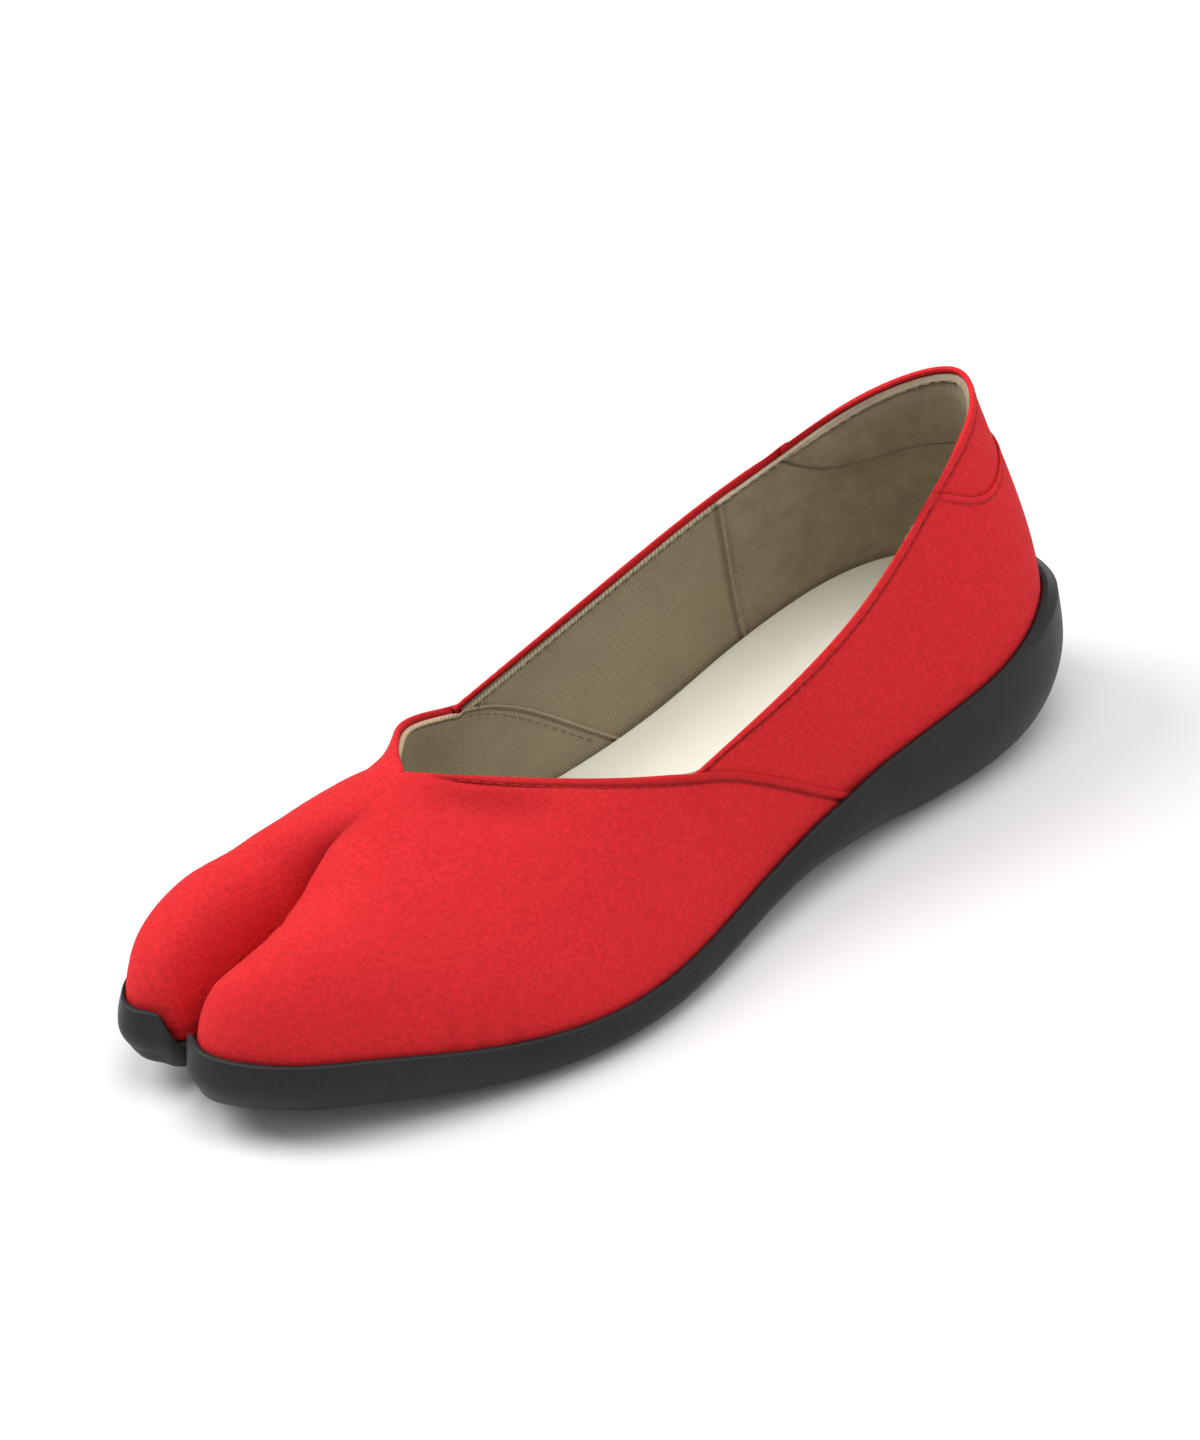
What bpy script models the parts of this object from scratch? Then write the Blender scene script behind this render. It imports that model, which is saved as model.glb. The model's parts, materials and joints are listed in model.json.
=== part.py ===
"""Tabi pump for the left foot: a slip-on with a split toe on a low moulded wedge.

Lengths are metres. The toe points along -Y, the heel along +Y, the outer side of the
foot along +X and up is +Z. The flat spots of the heel and the ball stand on Z = 0.
"""
from collections import namedtuple

import bmesh
import bpy
import numpy as np
from mathutils import Matrix

# Driving sizes
LENGTH = 0.244            # feather line, heel to toe
BALL_WIDTH = 0.088        # feather line across the ball
COLLAR_HEIGHT = 0.084     # floor to the back of the collar
HEEL_SEAT = 0.026         # floor to the seat under the heel
WALL = 0.0018             # outer cloth, lining and glue of the quarters
VAMP_STEP = 0.0007        # how far the vamp stands over the quarters
TAB_STEP = 0.0006         # how far the heel tab lies under the quarters
FIT_GAP = 0.0003          # clear space between pieces
LIP_THICKNESS = 0.0017    # rim of the sole round the upper
INSOLE_THICKNESS = 0.0030
MIDDLE_ACROSS = 0.0059    # middle of the finished shoe, from the middle of the last
MIDDLE_ALONG = 0.0003
PERCENT = 0.01

# One row for each rib of the upper, from the back of the heel to the tip of a toe pocket.
# A rib runs from its foot on the feather line to its edge: the collar, the throat, the
# crease of the vamp or the wall of the toe cleft. The edge of a pocket rib stands on the
# seat. Along is in percent of LENGTH from the middle of the shoe, across in percent of
# BALL_WIDTH, heights and handles in percent of COLLAR_HEIGHT.
Rib = namedtuple("Rib", "name along across edge_along edge_across edge_height "
                        "foot_out foot_up edge_out edge_up edge_forward")
ON_SEAT = None
LATERAL = (
    Rib("heel_back",       49.9,   2.3,  45.8,  -1.0, 100.0,  6.0, 21.5,   1.5, -19.0, 0.0),
    Rib("heel_corner",     46.8,  24.0,  43.2,  12.0,  98.0,  5.0, 21.5,   2.5, -19.0, 0.0),
    Rib("heel_side",       39.3,  35.8,  38.0,  21.0,  94.0,  3.0, 19.0,   4.0, -17.0, 0.0),
    Rib("heel_front",      31.1,  38.6,  31.1,  27.3,  85.6,  2.0, 17.0,   2.5, -15.5, 0.0),
    Rib("waist_back",      22.0,  38.8,  21.2,  33.3,  71.4,  1.5, 14.5,   1.5, -14.5, 0.0),
    Rib("waist",           12.6,  40.0,  10.2,  35.6,  59.4,  1.5, 12.0,   1.5, -12.5, 0.0),
    Rib("collar_front",     2.8,  45.1,  -0.8,  37.0,  50.8,  1.5, 12.5,   2.0, -10.0, 0.0),
    Rib("throat_side",     -5.4,  51.1,  -9.5,  26.0,  56.1,  2.0, 17.0,  12.0,  -7.0, 3.0),
    Rib("throat_quarter", -12.8,  54.9, -16.9,   9.7,  59.5,  2.0, 21.5,  18.0,  -5.0, 6.0),
    Rib("throat_front",   -19.3,  55.0, -21.8,  -4.4,  60.6,  2.0, 25.0,  18.0,  -1.5, 8.0),
    Rib("ball",           -25.9,  51.8, -27.3,  -3.8,  54.7,  2.0, 29.0,  13.0,   1.5, 4.0),
    Rib("crease",         -32.5,  46.6, -31.4,  -8.0,  39.0,  2.0, 34.0,   4.0,  26.0, 2.0),
    Rib("cleft_root",     -39.0,  39.2, -34.9,  -6.3, ON_SEAT, 2.0, 40.0,  2.5,  53.0, 0.0),
    Rib("pocket_middle",  -44.1,  31.3, -42.7,  -3.6, ON_SEAT, 1.5, 38.0,  1.0,  42.0, 0.0),
    Rib("pocket_front",   -47.8,  21.6, -47.8,   0.4, ON_SEAT, 0.5, 24.0,  1.0,  26.5, 0.0),
    Rib("pocket_tip",     -49.7,  10.4, -49.7,  10.4, ON_SEAT, 0.0,  0.0,  0.0,   0.0, 0.0),
)
MEDIAL = (
    Rib("heel_back",       49.9,   2.3,  45.8,  -1.0, 100.0,  6.0, 21.5,   1.5, -19.0, 0.0),
    Rib("heel_corner",     46.8, -20.0,  43.2, -13.0,  97.0,  5.0, 21.5,   2.5, -19.0, 0.0),
    Rib("heel_side",       39.3, -31.8,  37.6, -22.7,  90.0,  3.0, 19.0,   4.0, -17.0, 0.0),
    Rib("heel_front",      30.7, -34.1,  30.2, -28.4,  81.2,  2.0, 17.0,   2.5, -15.5, 0.0),
    Rib("waist_back",      21.6, -32.4,  21.2, -31.8,  73.0,  1.5, 14.5,   1.5, -14.5, 0.0),
    Rib("waist",           10.2, -30.0,   8.9, -33.0,  62.5,  1.5, 13.0,   1.5, -12.5, 0.0),
    Rib("collar_front",    -4.6, -33.4,  -9.1, -30.7,  50.6,  1.5, 12.5,   2.0, -10.0, 0.0),
    Rib("throat_side",    -11.1, -37.0, -15.0, -26.7,  57.0,  2.0, 16.0,   3.5,  -9.0, 2.0),
    Rib("throat_quarter", -16.1, -39.2, -19.0, -17.3,  60.7,  2.0, 18.5,   6.5,  -8.0, 3.0),
    Rib("throat_front",   -20.6, -40.9, -21.8,  -4.4,  60.6,  2.0, 20.5,  14.5,  -0.5, 5.0),
    Rib("ball",           -27.1, -41.8, -27.3,  -3.8,  54.7,  2.0, 23.0,  16.5,   5.0, 4.0),
    Rib("crease",         -33.6, -40.4, -31.4,  -8.0,  39.0,  2.0, 28.0,   5.0,  22.0, 2.0),
    Rib("cleft_root",     -39.4, -37.0, -34.9,  -6.3, ON_SEAT, 2.0, 36.0,  2.5,  45.0, 0.0),
    Rib("pocket_middle",  -44.3, -31.4, -43.1,  -7.0, ON_SEAT, 1.5, 32.5,  1.0,  35.0, 0.0),
    Rib("pocket_front",   -48.2, -24.4, -48.2,  -6.2, ON_SEAT, 0.5, 22.0,  1.0,  24.0, 0.0),
    Rib("pocket_tip",     -50.1, -15.2, -50.1, -15.2, ON_SEAT, 0.0,  0.0,  0.0,   0.0, 0.0),
)
SEAM = 6                  # row where the vamp seam leaves the collar
SEAM_FOOT = {-1: 4.45, 1: 5.0}     # place of the seam's foot on the lateral and medial side
SEAM_PULL_BACK = 3.2      # rows behind and before the seam that lean with it
SEAM_PULL_FRONT = 5.0
THROAT = 9                # row of the front of the throat
ROOT = 12                 # row of the root of the cleft
TIP = 15                  # row of the tip of a pocket
LOOP = 2 * TIP - ROOT     # rows of one half's outline, round the tip and back to the root
RIB_THIRD = 1 / 3         # where a rib's handles sit along the shoe

# Sole along the shoe: along in percent of LENGTH, heights in percent of HEEL_SEAT
SoleRow = namedtuple("SoleRow", "along floor seat lip")
SOLE = (
    SoleRow(-52.5, 31.0,  54.0, 30.0),
    SoleRow(-46.5, 23.0,  47.5, 30.0),
    SoleRow(-39.0, 15.0,  40.5, 28.5),
    SoleRow(-31.0,  6.5,  31.0, 23.0),
    SoleRow(-22.0,  0.0,  23.5, 17.5),
    SoleRow(-10.0,  0.0,  23.0, 15.0),
    SoleRow(  0.5,  8.0,  32.0, 15.5),
    SoleRow( 10.0, 15.0,  46.0, 17.0),
    SoleRow( 20.0,  7.0,  62.0, 19.0),
    SoleRow( 28.0,  0.0,  73.0, 20.5),
    SoleRow( 40.0,  0.0,  89.0, 27.0),
    SoleRow( 46.0,  2.0,  96.0, 36.0),
    SoleRow( 51.0,  6.0, 100.0, 41.0),
)

# Heel tab seam: place along the ribs and share of the rib below it
TabRow = namedtuple("TabRow", "rib share")
TAB_SEAM = (TabRow(0.0, 0.72), TabRow(1.6, 0.72), TabRow(2.1, 0.79), TabRow(2.6, 0.92), TabRow(TIP, 0.93))
TAB_END = 2.6
TAB_FADE = 0.3
FOLD_START = 0.5          # shares of a rib over which the vamp's step dies out at the crease
FOLD_END = 0.85

# Side wall of the sole, from the lip to the tread: share of the height, outward in metres
WallRow = namedtuple("WallRow", "height out")
SOLE_WALL = (WallRow(0.76, 0.0010), WallRow(0.54, 0.0014), WallRow(0.34, 0.0006), WallRow(0.17, -0.0014),
             WallRow(0.05, -0.0042))
TREAD_INSET = -0.0075     # tread's rim from the feather line
POCKET_INSET = -0.0045    # the same under the toe pockets
POCKET_PLACES = (11.5, 13.5)
HEEL_BULGE = 0.0022       # extra fullness of the wall behind the heel
HEEL_ROUND = -0.0040      # extra rounding of the tread behind the heel
HEEL_BACK_START = 0.36    # share of LENGTH where the heel's back begins
HEEL_BACK_END = 0.50
LIP_ROUND = 0.0005
CLEFT_LIP_START = 15.1    # places where the lip sinks into the cleft
CLEFT_LIP_END = 16.0
CLEFT_TUCK_END = 16.7     # place where the lip's foot has tucked under the upper
CLEFT_LEDGE = 0.0010      # how far the lip's foot tucks under the upper in the cleft
CLEFT_PITCH = 0.0002      # run of each face of the lip where it has sunk
CLEFT_SHELF = 0.0006
CLEFT_FULLNESS = 0.2      # share of the wall's fullness that is left in the cleft
LEAN_LIMIT = 0.0040       # most that the lip follows the lean of the upper
LEAN_REACH = 0.5          # share of a rib in which the lip's height is found
LEAN_STEPS = 60
LEAN_TURN = 1.5           # rows before a tip over which the lean dies out
HEEL_ROUND_POWER = 4
VAMP_RAMP = (-2.0, -0.5)  # rows before the vamp's foot where the lip makes room for it

# Fineness of the solids
PLACES_PER_ROW = 4
ROWS_BELOW_TAB = 8
ROWS_ABOVE_TAB = 3
CAP_RUNGS = 3             # faces from the rim to the middle of the tread and of the insole
SEAM_HALF_RUN = 0.025     # half the run of the vamp's step, in rows
TAB_HALF_RUN = 0.007      # half the run of the tab's step, in shares of a rib
NORMAL_STEP = 0.001
INSOLE_BEVEL = 0.0008
ROOT_RELIEF = 0.0034      # extra room for the insole behind the cleft
RELIEF_PLACES = (16.0, 17.5)
LEVEL_SHARE = 0.15        # shares of a rib over which the wall's foot is kept level

Finish = namedtuple("Finish", "color roughness")
FINISHES = {
    "red_suede": Finish((0.62, 0.025, 0.03, 1.0), 0.9),
    "charcoal_rubber": Finish((0.045, 0.048, 0.048, 1.0), 0.6),
    "cream_sheet": Finish((0.80, 0.76, 0.64, 1.0), 0.7),
}


def smoothstep(start, end, value):
    share = np.clip((np.asarray(value, float) - start) / (end - start), 0.0, 1.0)
    return share * share * (3.0 - 2.0 * share)


class Curve:
    """Natural cubic curve through rows of values; it may turn sharply at the corner rows."""

    def __init__(self, values, at=None, corners=()):
        self.values = np.asarray(values, float)
        count = len(self.values)
        self.at = np.arange(count, dtype=float) if at is None else np.asarray(at, float)
        self.span = np.diff(self.at)
        matrix = np.eye(count)
        right = np.zeros_like(self.values)
        slope = np.diff(self.values, axis=0) / self.span[:, None]
        for row in range(1, count - 1):
            if row in corners:
                continue
            before, after = self.span[row - 1], self.span[row]
            matrix[row, row - 1:row + 2] = before, 2.0 * (before + after), after
            right[row] = 6.0 * (slope[row] - slope[row - 1])
        self.bend = np.linalg.solve(matrix, right)

    def __call__(self, place):
        place = np.asarray(place, float)
        row = np.clip(np.searchsorted(self.at, place, side="right") - 1, 0, len(self.span) - 1)
        span = self.span[row][..., None]
        low = (self.at[row + 1] - place)[..., None] / span
        high = 1.0 - low
        line = low * self.values[row] + high * self.values[row + 1]
        sag = (low ** 3 - low) * self.bend[row] + (high ** 3 - high) * self.bend[row + 1]
        return line + sag * span * span / 6.0


SOLE_CURVE = Curve([[row.floor, row.seat, row.lip] for row in SOLE], [row.along for row in SOLE])


def sole_height(column, y):
    """Height of the floor (0), the seat (1) or the lip over the seat (2) at a place along the shoe."""
    return SOLE_CURVE(np.asarray(y, float) / (LENGTH * PERCENT))[..., column] * HEEL_SEAT * PERCENT


def floor_height(y):
    return np.maximum(sole_height(0, y), 0.0)


def seat_height(y):
    return sole_height(1, y)


def lip_rise(y):
    return sole_height(2, y)


def across_along(across, along):
    return across * BALL_WIDTH * PERCENT, along * LENGTH * PERCENT


def half_outline(rows):
    """Plan points of one half: heel to pocket tip, then back along the cleft to its root."""
    foot = [across_along(row.across, row.along) for row in rows]
    cleft = [across_along(row.edge_across, row.edge_along) for row in rows[TIP - 1:ROOT - 1:-1]]
    return foot + cleft


WRAP = 5
RING = half_outline(LATERAL)[:0:-1] + half_outline(MEDIAL)[:-1]
OUTLINE = Curve(RING[-WRAP:] + RING + RING[:WRAP + 1])
BOTH = LATERAL[:0:-1] + MEDIAL
CORNERS = (TIP - THROAT, TIP - SEAM, TIP + SEAM, TIP + THROAT)
EDGE = Curve([across_along(row.edge_across, row.edge_along) for row in BOTH], corners=CORNERS)
EDGE_HEIGHT = Curve([[seat_height(row.edge_along * LENGTH * PERCENT) if row.edge_height is ON_SEAT
                      else row.edge_height * COLLAR_HEIGHT * PERCENT] for row in BOTH], corners=CORNERS)
FIRST_HANDLE = Rib._fields.index("foot_out")
HANDLES = Curve(np.array([row[FIRST_HANDLE:] for row in BOTH]) * COLLAR_HEIGHT * PERCENT)


def outline(place):
    """Feather line in plan; places below 0 are lateral, above 0 medial, 0 is the back of the heel."""
    return OUTLINE(np.asarray(place, float) + LOOP + WRAP)


def outward(place):
    """Unit direction out of the shoe in plan."""
    run = outline(place + NORMAL_STEP) - outline(place - NORMAL_STEP)
    normal = np.stack([run[..., 1], -run[..., 0]], -1)
    return normal / np.linalg.norm(normal, axis=-1, keepdims=True)


def rib_edge(place):
    """Upper end of the rib at each place."""
    size = np.abs(place)
    plan = EDGE(place + TIP)
    height = EDGE_HEIGHT(place + TIP)[..., 0]
    shared = (size > THROAT)[..., None]
    plan = np.where(shared, 0.5 * (plan + EDGE(TIP - place)), plan)
    height = np.where(shared[..., 0], 0.5 * (height + EDGE_HEIGHT(TIP - place)[..., 0]), height)
    in_pocket = size > ROOT
    wall = outline(np.sign(place) * (2 * TIP - size))
    plan = np.where(in_pocket[..., None], wall, plan)
    height = np.where(in_pocket, seat_height(plan[..., 1]), height)
    return np.concatenate([plan, height[..., None]], -1)


def upper_surface(place, share):
    """Outer face of the quarters and the vamp before the steps of the seams."""
    place = np.asarray(place, float)
    share = np.asarray(share, float)[..., None]
    plan = outline(place)
    foot = np.concatenate([plan, seat_height(plan[..., 1])[..., None]], -1)
    edge = rib_edge(place)
    foot_out, foot_up, edge_out, edge_up, edge_forward = np.moveaxis(HANDLES(place + TIP), -1, 0)
    foot_side = outward(place)
    sideways = np.stack([-np.sign(place), np.zeros_like(place)], -1)
    turn = smoothstep(SEAM - 1, THROAT, np.abs(place))[..., None]
    edge_side = foot_side * (1.0 - turn) + sideways * turn
    edge_side /= np.linalg.norm(edge_side, axis=-1, keepdims=True)
    lean = (edge[..., 1] - foot[..., 1]) * RIB_THIRD
    foot_handle = foot.copy()
    foot_handle[..., :2] += foot_side * foot_out[..., None]
    foot_handle[..., 1] += lean
    foot_handle[..., 2] += foot_up
    edge_handle = edge.copy()
    edge_handle[..., :2] += edge_side * edge_out[..., None]
    edge_handle[..., 1] -= lean + edge_forward
    edge_handle[..., 2] += edge_up
    rest = 1.0 - share
    return (rest ** 3 * foot + 3.0 * rest ** 2 * share * foot_handle
            + 3.0 * rest * share ** 2 * edge_handle + share ** 3 * edge)


def tab_share(place):
    return np.interp(np.abs(place), [row.rib for row in TAB_SEAM], [row.share for row in TAB_SEAM])


def panel_step(column, share):
    """How far the panel at a column stands out from the quarters."""
    size = column
    if size > SEAM:
        fold = float(smoothstep(THROAT, ROOT, size) * smoothstep(FOLD_START, FOLD_END, share))
        return VAMP_STEP * (1.0 - fold)
    if size < TAB_END and share > tab_share(column):
        return -TAB_STEP * (1.0 - float(smoothstep(TAB_END - TAB_FADE, TAB_END, size)))
    return 0.0


def leaning_place(column, side, shares):
    """Place of each point of a column that leans with the vamp seam."""
    reach = SEAM_PULL_BACK if column < SEAM else SEAM_PULL_FRONT
    pull = max(0.0, 1.0 - abs(column - SEAM) / reach)
    return side * (column + (SEAM_FOOT[side] - SEAM) * (1.0 - shares) * pull)


def rib_columns():
    """Columns of the upper's faces in one half, with a pair for the step of the vamp seam."""
    places = [step / PLACES_PER_ROW for step in range(TIP * PLACES_PER_ROW + 1)]
    seam = places.index(SEAM)
    return places[:seam] + [SEAM - SEAM_HALF_RUN, SEAM + SEAM_HALF_RUN] + places[seam + 1:]


def rib_shares(column):
    """Shares along one column, with a pair for the step of the heel tab."""
    seam = tab_share(column)
    below = np.linspace(0.0, seam - TAB_HALF_RUN, ROWS_BELOW_TAB)
    above = np.linspace(seam + TAB_HALF_RUN, 1.0, ROWS_ABOVE_TAB)
    return np.concatenate([below, above])


def link(name, mesh, finish_name, collection):
    finish = FINISHES[finish_name]
    material = bpy.data.materials.new(finish_name)
    material.use_nodes = True
    shader = material.node_tree.nodes["Principled BSDF"]
    shader.inputs["Base Color"].default_value = finish.color
    shader.inputs["Roughness"].default_value = finish.roughness
    mesh.materials.append(material)
    piece = bpy.data.objects.new(name, mesh)
    collection.objects.link(piece)
    return piece


def mesh_from(form, name):
    bmesh.ops.recalc_face_normals(form, faces=form.faces[:])
    if form.calc_volume(signed=True) < 0.0:
        bmesh.ops.reverse_faces(form, faces=form.faces[:])
    for face in form.faces:
        face.smooth = True
    mesh = bpy.data.meshes.new(name)
    form.to_mesh(mesh)
    form.free()
    return mesh


def add_face(form, corners):
    """Face through its distinct corners; pole faces come out as triangles."""
    distinct = list(dict.fromkeys(corners))
    if len(distinct) > 2:
        form.faces.new(distinct)


def upper_skin(form):
    """Columns of both halves as lines of vertices, joined at the heel and along the crease."""
    halves = [[], []]
    for number, column in enumerate(rib_columns()):
        shares = rib_shares(column)
        for half, side in enumerate((-1, 1)):
            points = upper_surface(leaning_place(column, side, shares), shares)
            points[:, 2] += FIT_GAP
            if column == TIP:
                line = [form.verts.new(points[0])] * len(shares)
            elif number == 0 and half == 1:
                line = halves[0][0]
            else:
                line = [form.verts.new(point) for point in points[:-1]]
                joined = half == 1 and THROAT <= column <= ROOT
                line.append(halves[0][number][-1] if joined else form.verts.new(points[-1]))
            halves[half].append(line)
    return halves


def build_upper(collection):
    """Hollow wall between an outer skin with the seam steps and a plain inner skin."""
    form = bmesh.new()
    halves = upper_skin(form)
    columns = rib_columns()
    for lines in halves:
        for one, two in zip(lines, lines[1:]):
            for row in range(len(one) - 1):
                add_face(form, (one[row], two[row], two[row + 1], one[row + 1]))
    bmesh.ops.recalc_face_normals(form, faces=form.faces[:])
    form.normal_update()
    widest = max(form.verts, key=lambda vertex: vertex.co.x)
    facing = 1.0 if widest.normal.x > 0.0 else -1.0
    normals = {}
    steps = {}
    for lines in halves:
        for column, line in zip(columns, lines):
            for vertex, share in zip(line, rib_shares(column)):
                normal = vertex.normal * facing
                level = min(share, 1.0 - share) if column >= ROOT else share
                normal.z *= float(smoothstep(0.0, LEVEL_SHARE, level))
                normals.setdefault(vertex, normal.normalized())
                steps.setdefault(vertex, panel_step(column, share))
    inner = {vertex: form.verts.new(vertex.co - normal * WALL) for vertex, normal in normals.items()}
    for vertex, step in steps.items():
        vertex.co += normals[vertex] * step
    for face in list(form.faces):
        form.faces.new([inner[vertex] for vertex in face.verts])
    for lines in halves:
        for number, (one, two) in enumerate(zip(lines, lines[1:])):
            add_face(form, (one[0], two[0], inner[two[0]], inner[one[0]]))
            if not THROAT <= columns[number] < ROOT:
                add_face(form, (one[-1], two[-1], inner[two[-1]], inner[one[-1]]))
    return link("upper", mesh_from(form, "upper"), "red_suede", collection)


LOOP_STEPS = LOOP * PLACES_PER_ROW
ROOT_STEP = ROOT * PLACES_PER_ROW
TIP_STEP = TIP * PLACES_PER_ROW


def loop_places():
    """Places round the whole outline, from the cleft's root by the lateral side to the root again."""
    return np.arange(-LOOP_STEPS, LOOP_STEPS) / PLACES_PER_ROW


def loop_index(side, step):
    """Position in the loop of a step on one side; both ends of the loop are the root."""
    return (side * step + LOOP_STEPS) % (2 * LOOP_STEPS)


def cap_middle(form, ring, height):
    """Middle line of a cap from the heel to the cleft, drawn to the crease of the vamp at its front."""
    heel = ring[loop_index(1, 0)]
    root = ring[loop_index(1, LOOP_STEPS)]
    shift = np.array(root.co[:2]) - outline(np.array(LOOP))
    middle = [heel]
    for step in range(1, ROOT_STEP):
        place = step / PLACES_PER_ROW
        between = ring[loop_index(-1, step)].co.lerp(ring[loop_index(1, step)].co, 0.5)
        crease = rib_edge(np.array(place))[:2] + shift
        turn = float(smoothstep(SEAM, THROAT + 1, place))
        x = between.x + (crease[0] - between.x) * turn
        y = between.y + (crease[1] - between.y) * turn
        middle.append(form.verts.new((x, y, float(height(y)))))
    return middle + [root]


def cap_rung(form, start, end, height, rungs):
    """Points between the ring and the middle line, each at the cap's own height."""
    if start is end:
        return [start] * (rungs + 1)
    points = [start]
    for number in range(1, rungs):
        between = start.co.lerp(end.co, number / rungs)
        points.append(form.verts.new((between.x, between.y, float(height(between.y)))))
    return points + [end]


def add_cap(form, ring, height, rungs=1):
    """Close a ring with a ladder of faces that follows the height along the shoe."""
    middle = cap_middle(form, ring, height)
    for side in (-1, 1):
        cleft = [ring[loop_index(side, 2 * TIP_STEP - step)] for step in range(ROOT_STEP, TIP_STEP + 1)]
        far = middle[:ROOT_STEP] + cleft
        lines = [cap_rung(form, ring[loop_index(side, step)], end, height, rungs)
                 for step, end in enumerate(far)]
        for one, two in zip(lines, lines[1:]):
            for number in range(rungs):
                add_face(form, (one[number], two[number], two[number + 1], one[number + 1]))


def add_ring(form, places, out, height):
    plan = outline(places) + outward(places) * np.broadcast_to(out, places.shape)[:, None]
    return [form.verts.new((x, y, z)) for (x, y), z in zip(plan, np.broadcast_to(height, places.shape))]


def add_wall(form, rings):
    for one, two in zip(rings, rings[1:]):
        for number in range(len(one)):
            after = (number + 1) % len(one)
            add_face(form, (one[number], one[after], two[after], two[number]))


def lip_lean(places, rise):
    """How far the upper leans out of its feather line at the height of the lip."""
    lean = []
    last = TIP - LEAN_TURN
    shares = np.linspace(0.0, LEAN_REACH, LEAN_STEPS)
    for place, wanted in zip(places, rise):
        turned = np.clip(place, -last, last)
        points = upper_surface(np.full(len(shares), turned), shares)
        number = int(np.argmax(points[:, 2] - points[0, 2] >= wanted))
        lean.append(float((points[number, :2] - points[0, :2]) @ outward(np.array(turned))))
    return np.clip(lean, -LEAN_LIMIT, LEAN_LIMIT) * (1.0 - smoothstep(last, TIP, np.abs(places)))


def build_outsole(collection):
    """Moulded wedge with a lip round the upper, split between the toes."""
    form = bmesh.new()
    places = loop_places()
    y = outline(places)[:, 1]
    floor, seat, rise = floor_height(y), seat_height(y), lip_rise(y)
    lip = 1.0 - smoothstep(CLEFT_LIP_START, CLEFT_LIP_END, np.abs(places))
    cleft = smoothstep(CLEFT_LIP_END, CLEFT_TUCK_END, np.abs(places))
    clear = 1.0 - cleft
    heel = smoothstep(HEEL_BACK_START * LENGTH, HEEL_BACK_END * LENGTH, y)
    foot = np.where(places < 0.0, SEAM_FOOT[-1], SEAM_FOOT[1])
    snug = FIT_GAP + VAMP_STEP * smoothstep(*VAMP_RAMP, np.abs(places) - foot)
    top = seat + rise * lip
    seat_out = snug * clear - CLEFT_LEDGE * cleft
    lip_out = (snug + lip_lean(places, rise) * lip + CLEFT_PITCH * (1.0 - lip)) * clear
    lip_out -= (CLEFT_LEDGE - CLEFT_PITCH) * cleft
    mid_out = (snug + lip_lean(places, 0.5 * rise) * lip + 0.5 * CLEFT_PITCH * (1.0 - lip)) * clear
    mid_out -= (CLEFT_LEDGE - 0.5 * CLEFT_PITCH) * cleft
    bead = LIP_ROUND * lip + CLEFT_PITCH * (1.0 - lip)
    full = LIP_THICKNESS * lip + CLEFT_SHELF * (1.0 - lip)
    fullness = CLEFT_FULLNESS + (1.0 - CLEFT_FULLNESS) * lip
    rings = [
        add_ring(form, places, seat_out, seat),
        add_ring(form, places, mid_out, 0.5 * (seat + top)),
        add_ring(form, places, lip_out, top - LIP_ROUND * lip),
        add_ring(form, places, lip_out + bead, top),
        add_ring(form, places, lip_out + full - bead, top),
        add_ring(form, places, lip_out + full, top - LIP_ROUND),
    ]
    height = top - floor
    for row in SOLE_WALL:
        out = lip_out + full + (row.out + HEEL_BULGE * heel) * fullness
        out += HEEL_ROUND * heel * (1.0 - row.height) ** HEEL_ROUND_POWER
        rings.append(add_ring(form, places, out, floor + row.height * height))
    pocket = smoothstep(*POCKET_PLACES, np.abs(places))
    inset = TREAD_INSET + (POCKET_INSET - TREAD_INSET) * pocket
    rings.append(add_ring(form, places, inset + HEEL_ROUND * heel, floor))
    add_wall(form, rings)
    add_cap(form, rings[0], seat_height)
    add_cap(form, rings[-1], floor_height, CAP_RUNGS)
    return link("outsole", mesh_from(form, "outsole"), "charcoal_rubber", collection)


def build_insole(collection):
    """Sheet on the seat, inside the wall of the upper."""
    form = bmesh.new()
    places = loop_places()
    inset = -(WALL + 2.0 * FIT_GAP + ROOT_RELIEF * smoothstep(*RELIEF_PLACES, np.abs(places)))
    y = outline(places)[:, 1]

    def underside(along):
        return seat_height(along) + FIT_GAP

    def topside(along):
        return underside(along) + INSOLE_THICKNESS

    rings = [
        add_ring(form, places, inset - INSOLE_BEVEL, underside(y)),
        add_ring(form, places, inset, underside(y) + INSOLE_BEVEL),
        add_ring(form, places, inset, topside(y) - INSOLE_BEVEL),
        add_ring(form, places, inset - INSOLE_BEVEL, topside(y)),
    ]
    add_wall(form, rings)
    add_cap(form, rings[0], underside)
    add_cap(form, rings[-1], topside, CAP_RUNGS)
    return link("insole", mesh_from(form, "insole"), "cream_sheet", collection)


def main():
    for piece in list(bpy.data.objects):
        bpy.data.objects.remove(piece, do_unlink=True)
    collection = bpy.data.collections.new("tabi_pump")
    bpy.context.scene.collection.children.link(collection)
    to_middle = Matrix.Translation((-MIDDLE_ACROSS, -MIDDLE_ALONG, 0.0))
    for build in (build_outsole, build_upper, build_insole):
        build(collection).data.transform(to_middle)


main()
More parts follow.
